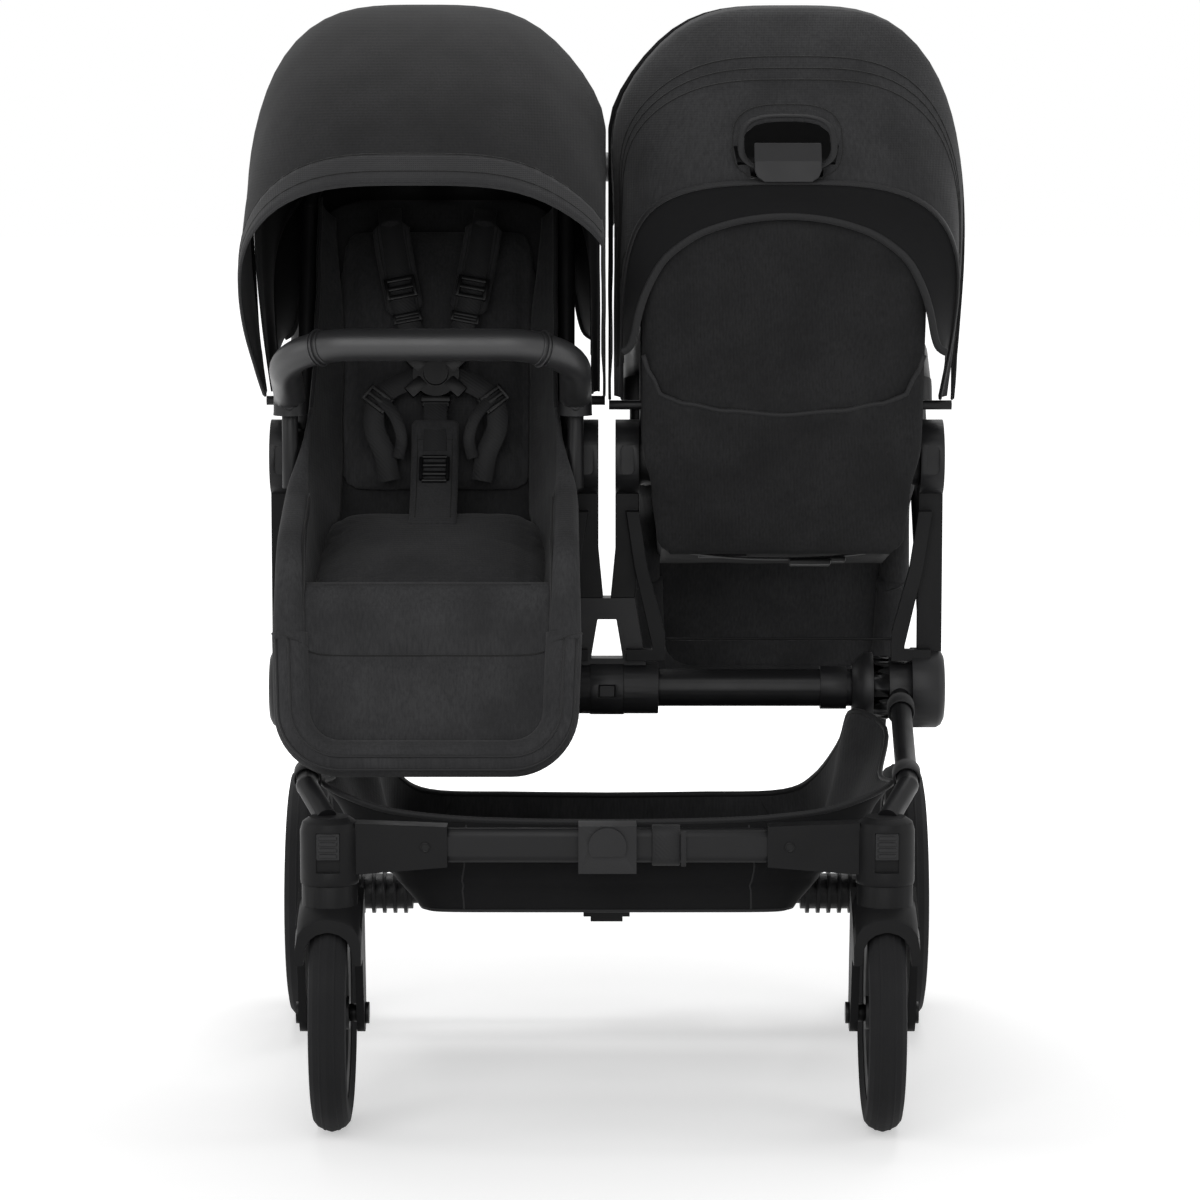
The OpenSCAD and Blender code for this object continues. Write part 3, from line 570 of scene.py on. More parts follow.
# Finish of each rigid solid, by how its name starts
NODE_FINISH = (
    ("tube", ("main_cross_tube", "front_legs", "front_crossbar", "push_tubes", "handlebar", "rear_legs",
              "rear_axle", "seat_frame")),
    ("nylon", ("fork_housings", "fork_left", "fork_right", "seat_arms")),
    ("plastic", ("centre_sleeve", "centre_button", "centre_bracket", "hub_covers", "crossbar_latch", "swivel_lock",
                 "seat_pods", "push_collars", "front_rim", "rear_rim", "brake_pedal", "recline")),
    ("acetal", ("buckle", "button", "front_axle")),
    ("leather", ("grip",)),
    ("tyre", ("front_tyre", "rear_tyre")),
)


class STROLLER_OT_frame(bpy.types.Operator):
    """Finishes and softened edges for the rigid solids"""
    bl_idname = "stroller.frame"
    bl_label = "Frame finishes"

    def execute(self, context):
        for name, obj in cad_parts.items():
            key = next((k for k, starts in NODE_FINISH if name.startswith(starts)), "canvas")
            obj.data.materials.clear()
            obj.data.materials.append(finish(key))
            if key in ("plastic", "nylon", "tube", "acetal"):
                weld = obj.modifiers.new("Weld", "WELD")
                weld.merge_threshold = 0.00002
                bevel = obj.modifiers.new("Bevel", "BEVEL")
                bevel.width, bevel.segments = 0.0011, 2
                bevel.limit_method, bevel.angle_limit = "ANGLE", math.radians(38)
                bevel.harden_normals = True
        return {"FINISHED"}


# Canopy: angles of its edges from upright, share of its legs, and the lever's opening as angle, half angle, half width
FRONT_RIM, FRONT_BACK, REAR_FRONT, REAR_TOP, REAR_EDGE = 55.0, 10.0, 16.0, -8.0, -34.5
LEG_SHARE = 0.13
OPENING, SQUARE = (-28.4, 3.4, 44.0), 3.0


def hood_arch(a, front):
    """Radius, half width, leg height and squareness of the canopy at an angle from upright."""
    if front:
        return 424.5, 181.0, 60.0, 3.5
    k = max(0.0, (REAR_TOP - a) / 29)
    return 417.5 - 142 * k, 174.5 - 8.5 * k, 60 + 40 * k, 2 / (0.5714 + 0.042 * k)


def hood_pt(a, s, front, lift=0.0):
    """Seat point of a canopy at angle a, with s from tip to tip over the arch from -1 to 1."""
    sizes = bpy.context.scene.stroller_sizes
    r, w, q, p = hood_arch(a, front)
    low, high = (FRONT_BACK, FRONT_RIM) if front else (REAR_TOP, REAR_EDGE)
    t = (a - low) / (high - low)
    fall = sizes.sag * 600 * math.sin(math.pi * min(1, max(0, t))) ** 2
    side = math.copysign(1.0, s)
    if abs(s) > 1 - LEG_SHARE:
        u = (1 - abs(s)) / LEG_SHARE
        x, d = side * (w - fall * u + lift), lerp(10.0, q, u)
    else:
        phi = s / (1 - LEG_SHARE) * math.pi / 2
        c, n = max(0.0, math.cos(phi)), abs(math.sin(phi))
        rho = ((n / w) ** p + (c / (r - q)) ** p) ** (-1 / p) - fall + lift
        x, d = side * rho * n, q + rho * c
    x += 8 * smooth((d - 150) / 250)
    if x > 0:
        x += sizes.flare * 1000 * math.sin(math.pi * min(1, max(0, (d - 5) / 410))) * (x / w)
    else:
        # The inner side swells as far as the plane between the seats lets it
        wall = (-180.6 if front else -176.5) + 0.02 * abs(a - 20)
        x = max(x + 21 * bell(d, 315, 75) * (x / w), wall)
    x += 0.7 * noise.noise(Vector((a * 0.13, s * 5, 3.1)))
    a = math.radians(a)
    return Vector((x, HOOD_F + d * math.sin(a), HOOD_Z + d * math.cos(a)))


def hood_rows(a0, a1, n, front, lift=0.0):
    """Grid of points over a canopy between two angles."""
    return grid(n, 76, lambda u, v: hood_pt(lerp(a0, a1, v), 2 * u - 1, front, lift))


def hood_line(a, n, front, lift, reach=1.0):
    """Points along a canopy at one angle."""
    return [hood_pt(a, lerp(-reach, reach, i / n), front, lift) for i in range(n + 1)]


def hood_out(points):
    """Directions away from the canopy's pivot line, for tapes that lie on it."""
    return [Vector((p.x * 0.9, p.y - HOOD_F, p.z - HOOD_Z)).normalized() for p in points]


def hood_opening(rows, a0, a1):
    """Draws the grid in to the rounded opening for the lever, and gives the cells to leave out."""
    n = len(rows) - 1
    mid, half, wide = OPENING
    gone = set()
    for j, row in enumerate(rows):
        a = lerp(a0, a1, j / n)
        for i, p in enumerate(row):
            u, v = p.x / wide, (a - mid) / half
            rho = (abs(u) ** SQUARE + abs(v) ** SQUARE) ** (1 / SQUARE)
            if (rho < 1 or abs(p.x) < 29 and -33.4 < a < mid) and p.z > HOOD_Z + 100:
                if rho > 0.72 and a > mid - 0.3 * half:
                    k = 1 / rho
                    s = hood_pt(mid + (a - mid) * k, 0, False)
                    q = hood_pt(mid + (a - mid) * k, 2 * i / (len(row) - 1) - 1, False)
                    row[i] = Vector((p.x * k, s.y * 0.3 + q.y * 0.7, s.z * 0.3 + q.z * 0.7))
                else:
                    gone.add((j, i))
    return lambda j, i: not gone & {(j, i), (j + 1, i), (j, i + 1), (j + 1, i + 1)}


def opening_line(grow):
    """Points round the lever's opening, on the canopy."""
    out = []
    mid, half, wide = OPENING
    for c, e in oval(1, 1, 48, 2 / SQUARE):
        x, a = (wide + grow) * c, mid + (half + grow / 5.2) * e
        lo, hi = 0.0, 0.6
        for _ in range(24):
            s = (lo + hi) / 2
            lo, hi = (s, hi) if hood_pt(a, s, False).x < abs(x) else (lo, s)
        p = hood_pt(a, lo, False, 1.6)
        out.append(Vector((x, p.y, p.z)))
    return out


def back_turn(u, v):
    """Point of the hem that turns in under the rear edge of a canopy's front sheet."""
    j = 2 * v
    return hood_pt(FRONT_BACK + 0.1 * j, 2 * u - 1, True, -j * lerp(0.7, 2.3, smooth(3.4 - abs(4 * u - 2) * 2)))


class STROLLER_OT_canopies(bpy.types.Operator):
    """Canopy of each seat: front sheet with its hem, rear sheet with seams, opening and bindings"""
    bl_idname = "stroller.canopies"
    bl_label = "Canopies"

    def execute(self, context):
        sizes = context.scene.stroller_sizes
        thick, pipe = sizes.cloth * 1000, sizes.piping * 1000
        band = math.degrees(sizes.hem * 1000 / 424)

        def along(form, path, section, closed=False):
            form.sweep(path, section, hood_out(path), closed)

        for side, place, seat in seats():
            hood = "canopy_" + side
            rows = hood_rows(FRONT_RIM, FRONT_BACK, 26, True)
            # The canopy's front sheet takes the canvas with painted shade
            top = piece("canopy_sheet_" + side, Form().sheet(rows, thick), "shade", hood, place, inside="lining")
            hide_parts("canopy_front_" + side)
            hem_rows = hood_rows(FRONT_RIM + 0.25, FRONT_RIM - band, 5, True, 1.7)
            hem = piece("canopy_hem_" + side, Form().sheet(hem_rows, 1.3), "hem", hood, place, inside="lining")
            edge = Form()
            along(edge, hood_line(FRONT_RIM + 0.3, 90, True, 0.4), oval(pipe, pipe, 8))
            rim_edge = piece("canopy_piping_" + side, edge, "hem", hood, place)
            seam = Form()
            for k in (0.35, 0.97):
                along(seam, hood_line(FRONT_RIM - band * k, 90, True, 2.5), oval(0.7, 0.5, 6))
            stitches = piece("canopy_stitching_" + side, seam, "thread", hood, place)
            turn = Form().sheet(grid(2, 76, back_turn), 1.2)
            # The turned-in hem takes the canvas with painted shade
            back_hem = piece("canopy_back_hem_" + side, turn, "shade", hood, place)
            cloth(top, rows, "stretched", ["seat_frame_" + side], [hem, rim_edge, stitches, back_hem])

            rows = hood_rows(REAR_FRONT, REAR_EDGE, 34, False)
            keep = hood_opening(rows, REAR_FRONT, REAR_EDGE)
            # The rear panel takes the canvas with painted light
            back = piece("canopy_back_" + side, Form().sheet(rows, thick, keep), "panel", seat, place, inside="lining")
            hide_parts("canopy_rear_" + side)
            trim = Form()
            along(trim, hood_line(REAR_EDGE + 0.4, 90, False, 0.6), tape(9, 3.4))
            along(trim, opening_line(3.5), tape(7, 2.0), closed=True)
            binding = piece("canopy_binding_" + side, trim, "webbing", seat, place, crease=50)
            seam = Form()
            for a in (-15.6, -17.3, -19.0):
                along(seam, hood_line(a, 80, False, 1.3, 0.93), oval(0.9, 0.8, 6))
            for s in (-1, 1):
                along(seam, [hood_pt(lerp(-20, REAR_EDGE, k / 20), s * lerp(0.66, 0.54, k / 20), False, 1.2)
                             for k in range(21)], oval(0.8, 0.7, 6))
            along(seam, opening_line(12), oval(0.7, 0.6, 6), closed=True)
            seams = piece("canopy_seams_" + side, seam, "thread", seat, place)
            cloth(back, rows, "stretched", ["seat_frame_" + side], [binding, seams])
        return {"FINISHED"}


# Outlines on the backrest, in millimetres: (up, half width), (out from the middle, up) and (x, up)
COVER_HALF = ((-104, 104), (-97, 121), (-84, 131), (-30, 136), (30, 147), (220, 147), (250, 139), (272, 116), (282, 84))
POCKET_TOP = ((0, 61), (60, 66), (100, 73), (126, 82), (137, 103), (147, 128))
FLAP_HALF = ((0, 283), (36, 280), (68, 272), (95, 260), (124, 236), (141, 205), (150, 177), (155, 152), (160, 138),
             (168, 132))
FLAP_EDGE = [(-x, y) for x, y in reversed(FLAP_HALF[1:])] + list(FLAP_HALF)


def cover_pt(u, v, top):
    """Point of the padded back cover, on its outside or its flat side."""
    v = 2 * v - 1
    y = 89 + 193 * (v * (1.06 - 0.06 * v * v))
    u = 2 * u - 1
    u = u * (1.12 - 0.12 * u * u)
    edge = max(0.0, (1 - abs(u) ** 9) * (1 - abs(v) ** 14)) ** 0.5
    swell = 3.5 * (1 - u * u) * (1 - v * v)
    return on_back(table(COVER_HALF, y) * u, y, -1.8 - 10.6 * edge - swell if top else -0.7)


def pocket_pt(u, v):
    """Point of the back pocket, which sags and has slanting folds at its sides."""
    u = 2 * u - 1
    y = lerp(-99, table(POCKET_TOP, abs(147 * u)), v)
    x = min(abs(147 * u), table(COVER_HALF, y) - 1.5) * math.copysign(1, u)
    edge = (1 - abs(u) ** 8) ** 0.5 * min(1, 7 * v) ** 0.5
    bag = 5.5 * edge * math.sin(math.pi * min(1, 0.12 + 0.8 * v)) * (1 - 0.5 * u * u)
    fold = 1.6 * math.sin(9 * (y / 150 - abs(u) * 1.1)) * smooth(abs(u) * 2 - 0.7) * (1 - abs(u) ** 6) * v
    return on_back(x, y, -15.2 - bag - fold - 1.2 * noise.noise(Vector((x / 40, y / 55, 7))))


def flap_pt(u, v):
    """Point of the flap from the canopy's rear edge down to the back cover."""
    x, y = curve(FLAP_EDGE, u)
    p = hood_pt(REAR_EDGE + 0.3, 0.93 * (2 * u - 1), False, -1.0).lerp(on_back(x, y, -17.5), v)
    p.y += 5 * math.sin(math.pi * v)
    return p


class STROLLER_OT_back_covers(bpy.types.Operator):
    """Back of each seat: padded panel, sagging pocket with folds, and the dark flap under the canopy"""
    bl_idname = "stroller.back_covers"
    bl_label = "Back covers"

    def execute(self, context):
        behind = -outward(on_back)
        for side, place, seat in seats():
            tops, lows = (sum(grid(52, 46, lambda u, v: cover_pt(u, v, top)), []) for top in (True, False))
            # Cover and pocket take the canvas with painted shade
            cover = piece("back_cover_" + side + "_panel", Form().shell(tops, lows, 47), "shade", seat, place)
            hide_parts("back_cover_" + side)

            rows = grid(24, 48, pocket_pt)
            pocket = piece("back_pocket_" + side, Form().sheet(rows, 2.0), "shade", seat, place)
            rim = Form().sweep(rows[-1], tape(5, 3.2), behind)
            rim_edge = piece("back_pocket_rim_" + side, rim, "webbing", seat, place)
            cloth(pocket, rows, "hung", ["back_cover_" + side], [rim_edge])

            rows = grid(8, 60, flap_pt)
            flap = piece("canopy_flap_" + side, Form().sheet(rows, 1.6), "lining", seat, place)
            trim = Form().sweep(rows[-1], tape(8, 3.0), behind)
            flap_edge = piece("canopy_flap_binding_" + side, trim, "webbing", seat, place)
            cloth(flap, rows, "stretched", ["back_cover_" + side], [flap_edge])
        return {"FINISHED"}


def pillow(at, w, l, t, crown):
    """Closed pad with a crowned face and sides drawn in, set by a function of its own coordinates."""
    def pt(u, v, top):
        u, v = (k * (1.15 - 0.15 * k * k) for k in (2 * u - 1, 2 * v - 1))
        x = w * u * (1 - 0.02 * (1 - v * v)) * (1 - 0.09 * abs(v) ** 6)
        y = l * v * (1 - 0.02 * (1 - u * u)) * (1 - 0.06 * abs(u) ** 6)
        edge = max(0.03, (1 - abs(u) ** 7) * (1 - abs(v) ** 7)) ** 0.5
        return at(x, y, 0.4 + (t + crown * (1 - u * u) * (1 - v * v)) * edge * top)

    tops, lows = (sum(grid(40, 40, lambda u, v: pt(u, v, top)), []) for top in (1, 0))
    return Form().shell(tops, lows, 41)


def swelled(form, back, out, cap):
    """Form blown up as a stitched pad by a cloth simulation, held along its flat back, no point moving over cap."""
    mesh = bpy.data.meshes.new("pad trial")
    mesh.from_pydata([p * 0.001 for p in form.points], [], form.faces)
    trial = bpy.data.objects.new("pad trial", mesh)
    scene = bpy.context.scene
    scene.collection.objects.link(trial)
    remesh = trial.modifiers.new("Remesh", "REMESH")
    remesh.mode, remesh.voxel_size = "VOXEL", 0.0048
    graph = bpy.context.evaluated_depsgraph_get()
    even = bpy.data.meshes.new_from_object(trial.evaluated_get(graph))
    trial.modifiers.clear()
    trial.data = even
    rest = [v.co.copy() for v in even.vertices]
    held = trial.vertex_groups.new(name="held")
    held.add([k for k, p in enumerate(rest) if (p * 1000 - back).dot(out) < 2.5], 1.0, "REPLACE")
    mod = trial.modifiers.new("Cloth", "CLOTH")
    cloth_set = mod.settings
    cloth_set.quality, cloth_set.mass = 5, 0.25
    cloth_set.tension_stiffness = cloth_set.compression_stiffness = 12
    cloth_set.use_pressure, cloth_set.uniform_pressure_force = True, 4.0
    cloth_set.effector_weights.gravity = 0
    cloth_set.vertex_group_mass = "held"
    mod.collision_settings.use_collision = False
    mod.point_cache.frame_start, mod.point_cache.frame_end = 1, 20
    for f in range(1, 21):
        scene.frame_set(f)
    graph = bpy.context.evaluated_depsgraph_get()
    moved = [v.co.copy() for v in trial.evaluated_get(graph).data.vertices]
    points = []
    for p, q in zip(rest, moved):
        d = (q - p) * 1000
        points.append(p * 1000 + (d * min(1, cap / d.length) if d.length > 1e-6 else d))
    faces = [list(f.vertices) for f in even.polygons]
    scene.frame_set(1)
    bpy.data.objects.remove(trial)
    return Form().add(points, faces)


def sewn(form, start, axes, lines):
    """Presses sewn channels into a pad's face: each line has its distance from a point, its width and its depth."""
    for k, p in enumerate(form.points):
        x, y, z = ((p - start).dot(axis) for axis in axes)
        if z >= 6:
            form.points[k] = p - axes[2] * sum(depth * bell(gap(x, y), 0, width) for gap, width, depth in lines)
    return form


def back_at(x, y, z):
    """Place of the backrest pad's own coordinates."""
    return on_back(x, 101 + y, z)


def cushion_at(x, y, z):
    """Place of the cushion's own coordinates, its rear raised."""
    return on_seat(x, 117 + y, z + 13 * smooth(-y / 110) * min(1, z / 25))


# Name, place, half width, half length, thickness, crown, filling and sewn lines of the pads
PADS = (
    ("backrest", back_at, (108, 148, 24, 5), 0.6,
     ((lambda x, y: abs(x) - 52, 4, 5), (lambda x, y: y - 8 - 0.0015 * x * x, 4, 4), (lambda x, y: abs(x) - 92, 5, 3))),
    ("cushion", cushion_at, (123, 112, 30, 6), 0.7,
     ((lambda x, y: y - 84, 5, 2.5), (lambda x, y: abs(x) - 98, 5, 2))),
)


class STROLLER_OT_pads(bpy.types.Operator):
    """Backrest and seat cushion of each seat, swelled by a cloth simulation and then sewn"""
    bl_idname = "stroller.pads"
    bl_label = "Seat pads"

    def execute(self, context):
        cap = context.scene.stroller_sizes.swell * 1000
        for name, at, shape, fill, lines in PADS:
            start = at(0, 0, 0)
            axes = [at(*way) - start for way in ((1, 0, 0), (0, 1, 0), (0, 0, 1))]
            form = pillow(at, *shape)
            form = swelled(form, start, axes[2], cap)
            form = sewn(form, start, axes, lines)
            for side, place, seat in seats():
                pad = piece(name + "_pad_" + side, form, "canvas", seat, place, divide=1)
                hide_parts(name + "_" + side)
        return {"FINISHED"}


# Lines in the seat frame: front edge of the side cloth as (x, ahead, up), front of the apron as (ahead, up)
WING_FRONT = ((127.5, -122, 928), (127.5, -92, 872), (127.5, -52, 806), (127.5, -6, 756), (129, 34, 714),
              (134, 60, 672), (132, 80, 640), (128, 116, 622), (127, 164, 604), (127, 203, 586), (127, 222, 560),
              (127, 231, 532))
APRON = ((210, 546), (222, 547), (231, 540), (237.5, 525), (243, 505), (250, 480), (257.5, 455), (264, 434),
         (271, 411), (276, 396), (280.5, 381))
APRON_HALF, APRON_STEPS, APRON_SEAM = 126.5, 32, 0.515


def wing_back(t):
    """Rear edge of a seat's side cloth, down the backrest and then along the cushion."""
    if t < 0.5:
        return on_back(lerp(112, 101, smooth(t * 4)), lerp(258, -30, t / 0.5), lerp(10, 20, smooth(t * 4)))
    k = (t - 0.5) / 0.5
    return on_seat(lerp(101, 118, smooth(k * 3)), lerp(4, 226, k), lerp(34, 4, smooth(k * 4)))


def wing_pt(u, v, s):
    """Point of the side cloth from the pads to its front edge, on the side s."""
    p = wing_back(v).lerp(Vector(curve(WING_FRONT, v)), u)
    p.x += 5 * math.sin(math.pi * u) * (1 - 0.6 * v) + 1.3 * noise.noise(Vector((p.y / 30, p.z / 45, s)))
    return Vector((s * p.x, p.y, p.z))


def apron_pt(u, v):
    """Point of the apron over the front edge of the seat, with two pressed lines."""
    u = 2 * u - 1
    f, z = curve(APRON, v)
    lift = 3.0 * bell(v, 0.33, 0.15) * (1 - u ** 4) - 2.2 * bell(v, APRON_SEAM, 0.02)
    lift -= 2.2 * bell(v, 0.24, 0.028) * (1 - u ** 6)
    p = Vector((APRON_HALF * u, f, z))
    lift += 0.8 * noise.noise(Vector((p.x / 35, p.z / 28, 2)))
    return p + Vector((0, 0.93, 0.3)) * lift


def base_pt(u, v):
    """Point of the cloth under the seat."""
    u = 2 * u - 1
    fall = 5 * (1 - u ** 4) * math.sin(math.pi * v) + 1.2 * noise.noise(Vector((u * 3, v * 5, 9)))
    return on_seat(124 * u, lerp(2, 216, v), -3.4 - fall)


def rail_line(s):
    """Points along a side rail from in front of the pod, round the knee, to the footrest roll."""
    pts = [(129, 36, 712), (133, 57, 680), (137, 72, 655), (139.5, 90, 636)]
    pts += [(RAIL_X, f, 657 - 72 * f / 215) for f in (112, 136, 160, 184)]
    pts += [(RAIL_X, 205, 586), (RAIL_X, 218, 573)]
    pts += [on_foot(RAIL_X, d, 0) for d in (34, 52, 74, 98)]
    return [Vector((s * p.x, p.y, p.z)) for p in line(pts, 40)]


class STROLLER_OT_side_cloth(bpy.types.Operator):
    """Side wings, padded rail wraps, seat base and front apron of each seat"""
    bl_idname = "stroller.side_cloth"
    bl_label = "Side cloth"

    def execute(self, context):
        pipe = context.scene.stroller_sizes.piping * 1000
        down = -outward(on_seat)
        for side, place, seat in seats():
            for mark, s in (("outer", 1), ("inner", -1)):
                end = "_%s_%s" % (mark, side)
                rows = grid(40, 14, lambda u, v: wing_pt(u, v, s))
                wing = piece("side_wing" + end, Form().sheet(rows, 3.0), "canvas", seat, place)
                trim = Form().sweep([row[-1] for row in rows], oval(pipe * 1.6, pipe * 1.6, 8), (s, 0, 0.3))
                edge = piece("side_wing_piping" + end, trim, "webbing", seat, place)
                cloth(wing, rows, "stretched", ["seat_frame_" + side], [edge])
                if mark == "outer":
                    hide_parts("liner_" + side)
                rail = rail_line(s)
                wrap = Form().sweep(rail, oval(16.5, 15.5, 20, 0.86), (s, 0, 0),
                                    size=lambda t: 0.14 + 0.68 * smooth(t * 3) + 0.28 * t * t)
                # The rail wrap takes the canvas with painted light
                roll = piece("rail_wrap" + end, wrap, "roll", seat, place)
                trim = Form().sweep([p + Vector((s * -13.5, 6.5, 8.5)) for p in rail[12:-2]], oval(1, 1, 6), (s, 0, 0))
                piece("rail_wrap_seam" + end, trim, "thread", seat, place)

            rows = grid(APRON_STEPS, 48, apron_pt)
            # The apron takes the canvas with painted light
            apron = piece("front_apron_" + side, Form().sheet(rows, 4.0), "roll", seat, place)
            trim = Form()
            trim.sweep([p + Vector((0, 2.4, -1.5 + 9 * (abs(p.x) / APRON_HALF) ** 12))
                        for p in rows[round(APRON_SEAM * APRON_STEPS)]], oval(0.9, 0.9, 6), (0, 1, 0))
            trim.sweep([p + Vector((0, 1.2, 0.8)) for p in rows[4][4:-4]], oval(0.9, 0.9, 6), (0, 1, 0))
            seam = piece("front_apron_seam_" + side, trim, "thread", seat, place)
            cloth(apron, rows, "stretched", ["seat_frame_" + side], [seam])

            rows = grid(18, 24, base_pt)
            base = piece("seat_base_" + side, Form().sheet(rows, 3.0), "lining", seat, place)
            tie = [on_seat(x, 22 + 6 * abs(x) / 90, -9.5 - 7 * (1 - (x / 95) ** 2)) for x in (-95, -50, 0, 50, 95)]
            tie = Form().sweep(line(tie, 24), tape(20, 1.6), down)
            strap = piece("seat_base_strap_" + side, tie, "webbing", seat, place)
            clip, patch = Form(), Form()
            for form, at, size, bevel in ((clip, (34, 23, -20), (26, 44, 7), 2.2),
                                          (clip, (64, 25, -17), (22, 16, 5.5), 1.6),
                                          (patch, (-58, 66, -9.8), (24, 52, 2.4), 0.9)):
                form.block(facing(on_seat(*at), down, (1, 0, 0)), size, bevel)
            clip = piece("seat_base_clip_" + side, clip, "acetal", seat, place, crease=40)
            patch = piece("seat_base_patch_" + side, patch, "webbing", seat, place, crease=40)
            cloth(base, rows, "stretched", ["seat_frame_" + side], [strap, clip, patch])
        return {"FINISHED"}


def rounded_u(w, d0, d1, r, side, corner, bottom, splay=0.0):
    """Points of a U from one leg over its bottom to the other: half width, leg and bottom depth, corner radius,
    and the steps along a leg, a corner and the bottom. The legs may splay out at their tops."""
    turn = [math.pi / 2 * k / corner for k in range(corner)]
    pts = [(-w - splay * (1 - k / side), lerp(d0, d1 - r, k / side)) for k in range(side)]
    pts += [(-w + r - r * math.cos(t), d1 - r + r * math.sin(t)) for t in turn]
    pts += [(lerp(r - w, w - r, k / bottom), d1) for k in range(bottom)]
    pts += [(w - r + r * math.sin(t), d1 - r + r * math.cos(t)) for t in turn]
    return pts + [(w + splay * k / side, lerp(d1 - r, d0, k / side)) for k in range(side + 1)]


FOOT_W, FOOT_D, FOOT_R = 136.0, 218.0, 50.0


def foot_u(out, top, grow=0.0):
    """Points round the footrest from one leg over the bottom to the other."""
    flat = rounded_u(FOOT_W + grow, top, FOOT_D + grow, FOOT_R + grow, 12, 14, 18, 3.0)
    return [on_foot(x, d, out) for x, d in flat]


class STROLLER_OT_footrests(bpy.types.Operator):
    """Padded footrest roll of each seat with piping along both edges"""
    bl_idname = "stroller.footrests"
    bl_label = "Footrests"

    def execute(self, context):
        pipe = context.scene.stroller_sizes.piping * 1000
        ahead = outward(on_foot)
        for side, place, seat in seats():
            form = Form().sweep(foot_u(0.0, 90), oval(18.6, 18.2, 24, 0.88), ahead)
            # The footrest roll takes the canvas with painted light
            roll = piece("footrest_roll_" + side, form, "roll", seat, place)
            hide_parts("footrest_" + side)
            trim = Form()
            for off, out in ((0.5, 18.2), (13.4, 13.6)):
                trim.sweep(foot_u(out, 98, off), oval(pipe, pipe, 8), ahead)
            for s in (-1, 1):
                ring = [on_foot(s * (138.8 + 18.5 * c), 97 - 7 * c, 18.0 * e) for c, e in circle(36)]
                trim.sweep(ring, oval(1.1, 1.1, 6), (0, 0, 1), closed=True)
            piece("footrest_piping_" + side, trim, "webbing", seat, place)
        return {"FINISHED"}


BAR_TILT, BAR_REACH, BAR_R, COLLAR_X = math.radians(26.6), 141.0, 72.0, 112.0


def bar_line():
    """Points along a bumper bar from post to post, in its tilted plane, with its ends bent down onto the posts."""
    c, s = math.cos(BAR_TILT), math.sin(BAR_TILT)
    path = [Vector((x, POST_F + d * c, POST_Z + 20 + d * s))
            for x, d in rounded_u(POST_X, 0, BAR_REACH, BAR_R, 6, 20, 16)]
    ends = [[Vector((x, POST_F, POST_Z + 12)), Vector((x, POST_F + 0.6, POST_Z + 17))] for x in (-POST_X, POST_X)]
    return ends[0] + path[1:-1] + ends[1][::-1]


class STROLLER_OT_bumpers(bpy.types.Operator):
    """Bumper bar of each seat in leatherette, with stitched collars and moulded ends"""
    bl_idname = "stroller.bumpers"
    bl_label = "Bumper bars"

    def execute(self, context):
        path = bar_line()
        seam, ends, heads = Form(), Form(), Form()
        for p, q in zip(path[1:-1], path[2:]):
            if (abs(p.x) - COLLAR_X) * (abs(q.x) - COLLAR_X) < 0:
                t = (q - p).normalized()
                across = t.cross(Vector((0, 0, 1))).normalized()
                up = across.cross(t)
                for off, r, w in ((-4.5, 17.0, 0.9), (0.0, 17.3, 2.6), (4.5, 17.0, 0.9)):
                    ring = [p + t * off + (across * c + up * s) * r for c, s in circle(40)]
                    seam.sweep(ring, oval(w, 0.6, 8), t, closed=True)
        for s in (-1, 1):
            base = Vector((s * POST_X, POST_F, POST_Z + 0.8))
            post = [base + Vector((0, f, z)) for f, z in ((0, 0), (0, 3), (0, 20), (3, 27))]
            ends.sweep(post, oval(17.6, 17.6, 28), (0, 1, 0), size=lambda t: 1 - 0.06 * t)
            heads.screw(base + Vector((0, 17.2, 11)), (0, 1, 0), 4.4, oval(0.9, 1.0, 8), 4.0, -1.2, 0.5)
        for side, place, _ in seats():
            body = "bumper_" + side
            form = Form().sweep(path, oval(16.6, 16.6, 24), (0, -0.3, 1))
            bar = piece("bumper_bar_" + side, form, "leather", body, place)
            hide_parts("bumper_" + side)
            piece("bumper_collars_" + side, seam, "leather", body, place)
            piece("bumper_ends_" + side, ends, "plastic", body, place, crease=40)
            piece("bumper_screws_" + side, heads, "plastic", body, place, crease=40)
        return {"FINISHED"}


def strap_run(s, points, n):
    """Path of a harness strap over the seat, from points (x, up, out) on the plane of the backrest, on the side s."""
    return [on_back(*p) for p in line([(s * x, up, out) for x, up, out in points], n)]


def pad_tube(form, path, out, wide, thick, ends=0.35):
    """Flat padded sleeve along a path, rounded off at both ends, or nearly square where ends is close to 1."""
    last, section, points = len(path) - 1, oval(1.0, 1.0, 16, 0.6), []
    for k, p in enumerate(path):
        half = wide / 2 * min(1.0, ends + 5.5 * min(k, last - k) / last)
        t = (path[min(k + 1, last)] - path[max(k - 1, 0)]).normalized()
        across = t.cross(out).normalized()
        o = across.cross(t)
        points += [p + across * half * a + o * thick / 2 * b for a, b in section]
    return form.tube(points, len(section))


def ladder(form, at, along, out, wide, long, thick):
    """Strap adjuster: a frame with bars that the webbing runs through."""
    place, rung = facing(at, out, along), thick * 1.2
    for v in (-0.5, 0.0, 0.5):
        form.block(place @ Matrix.Translation((0, v * (long - rung), 0)), (wide, rung, thick), thick * 0.3)
    for u in (-0.5, 0.5):
        form.block(place @ Matrix.Translation((u * (wide - thick), 0, 0)), (thick, long, thick * 1.1), thick * 0.3)


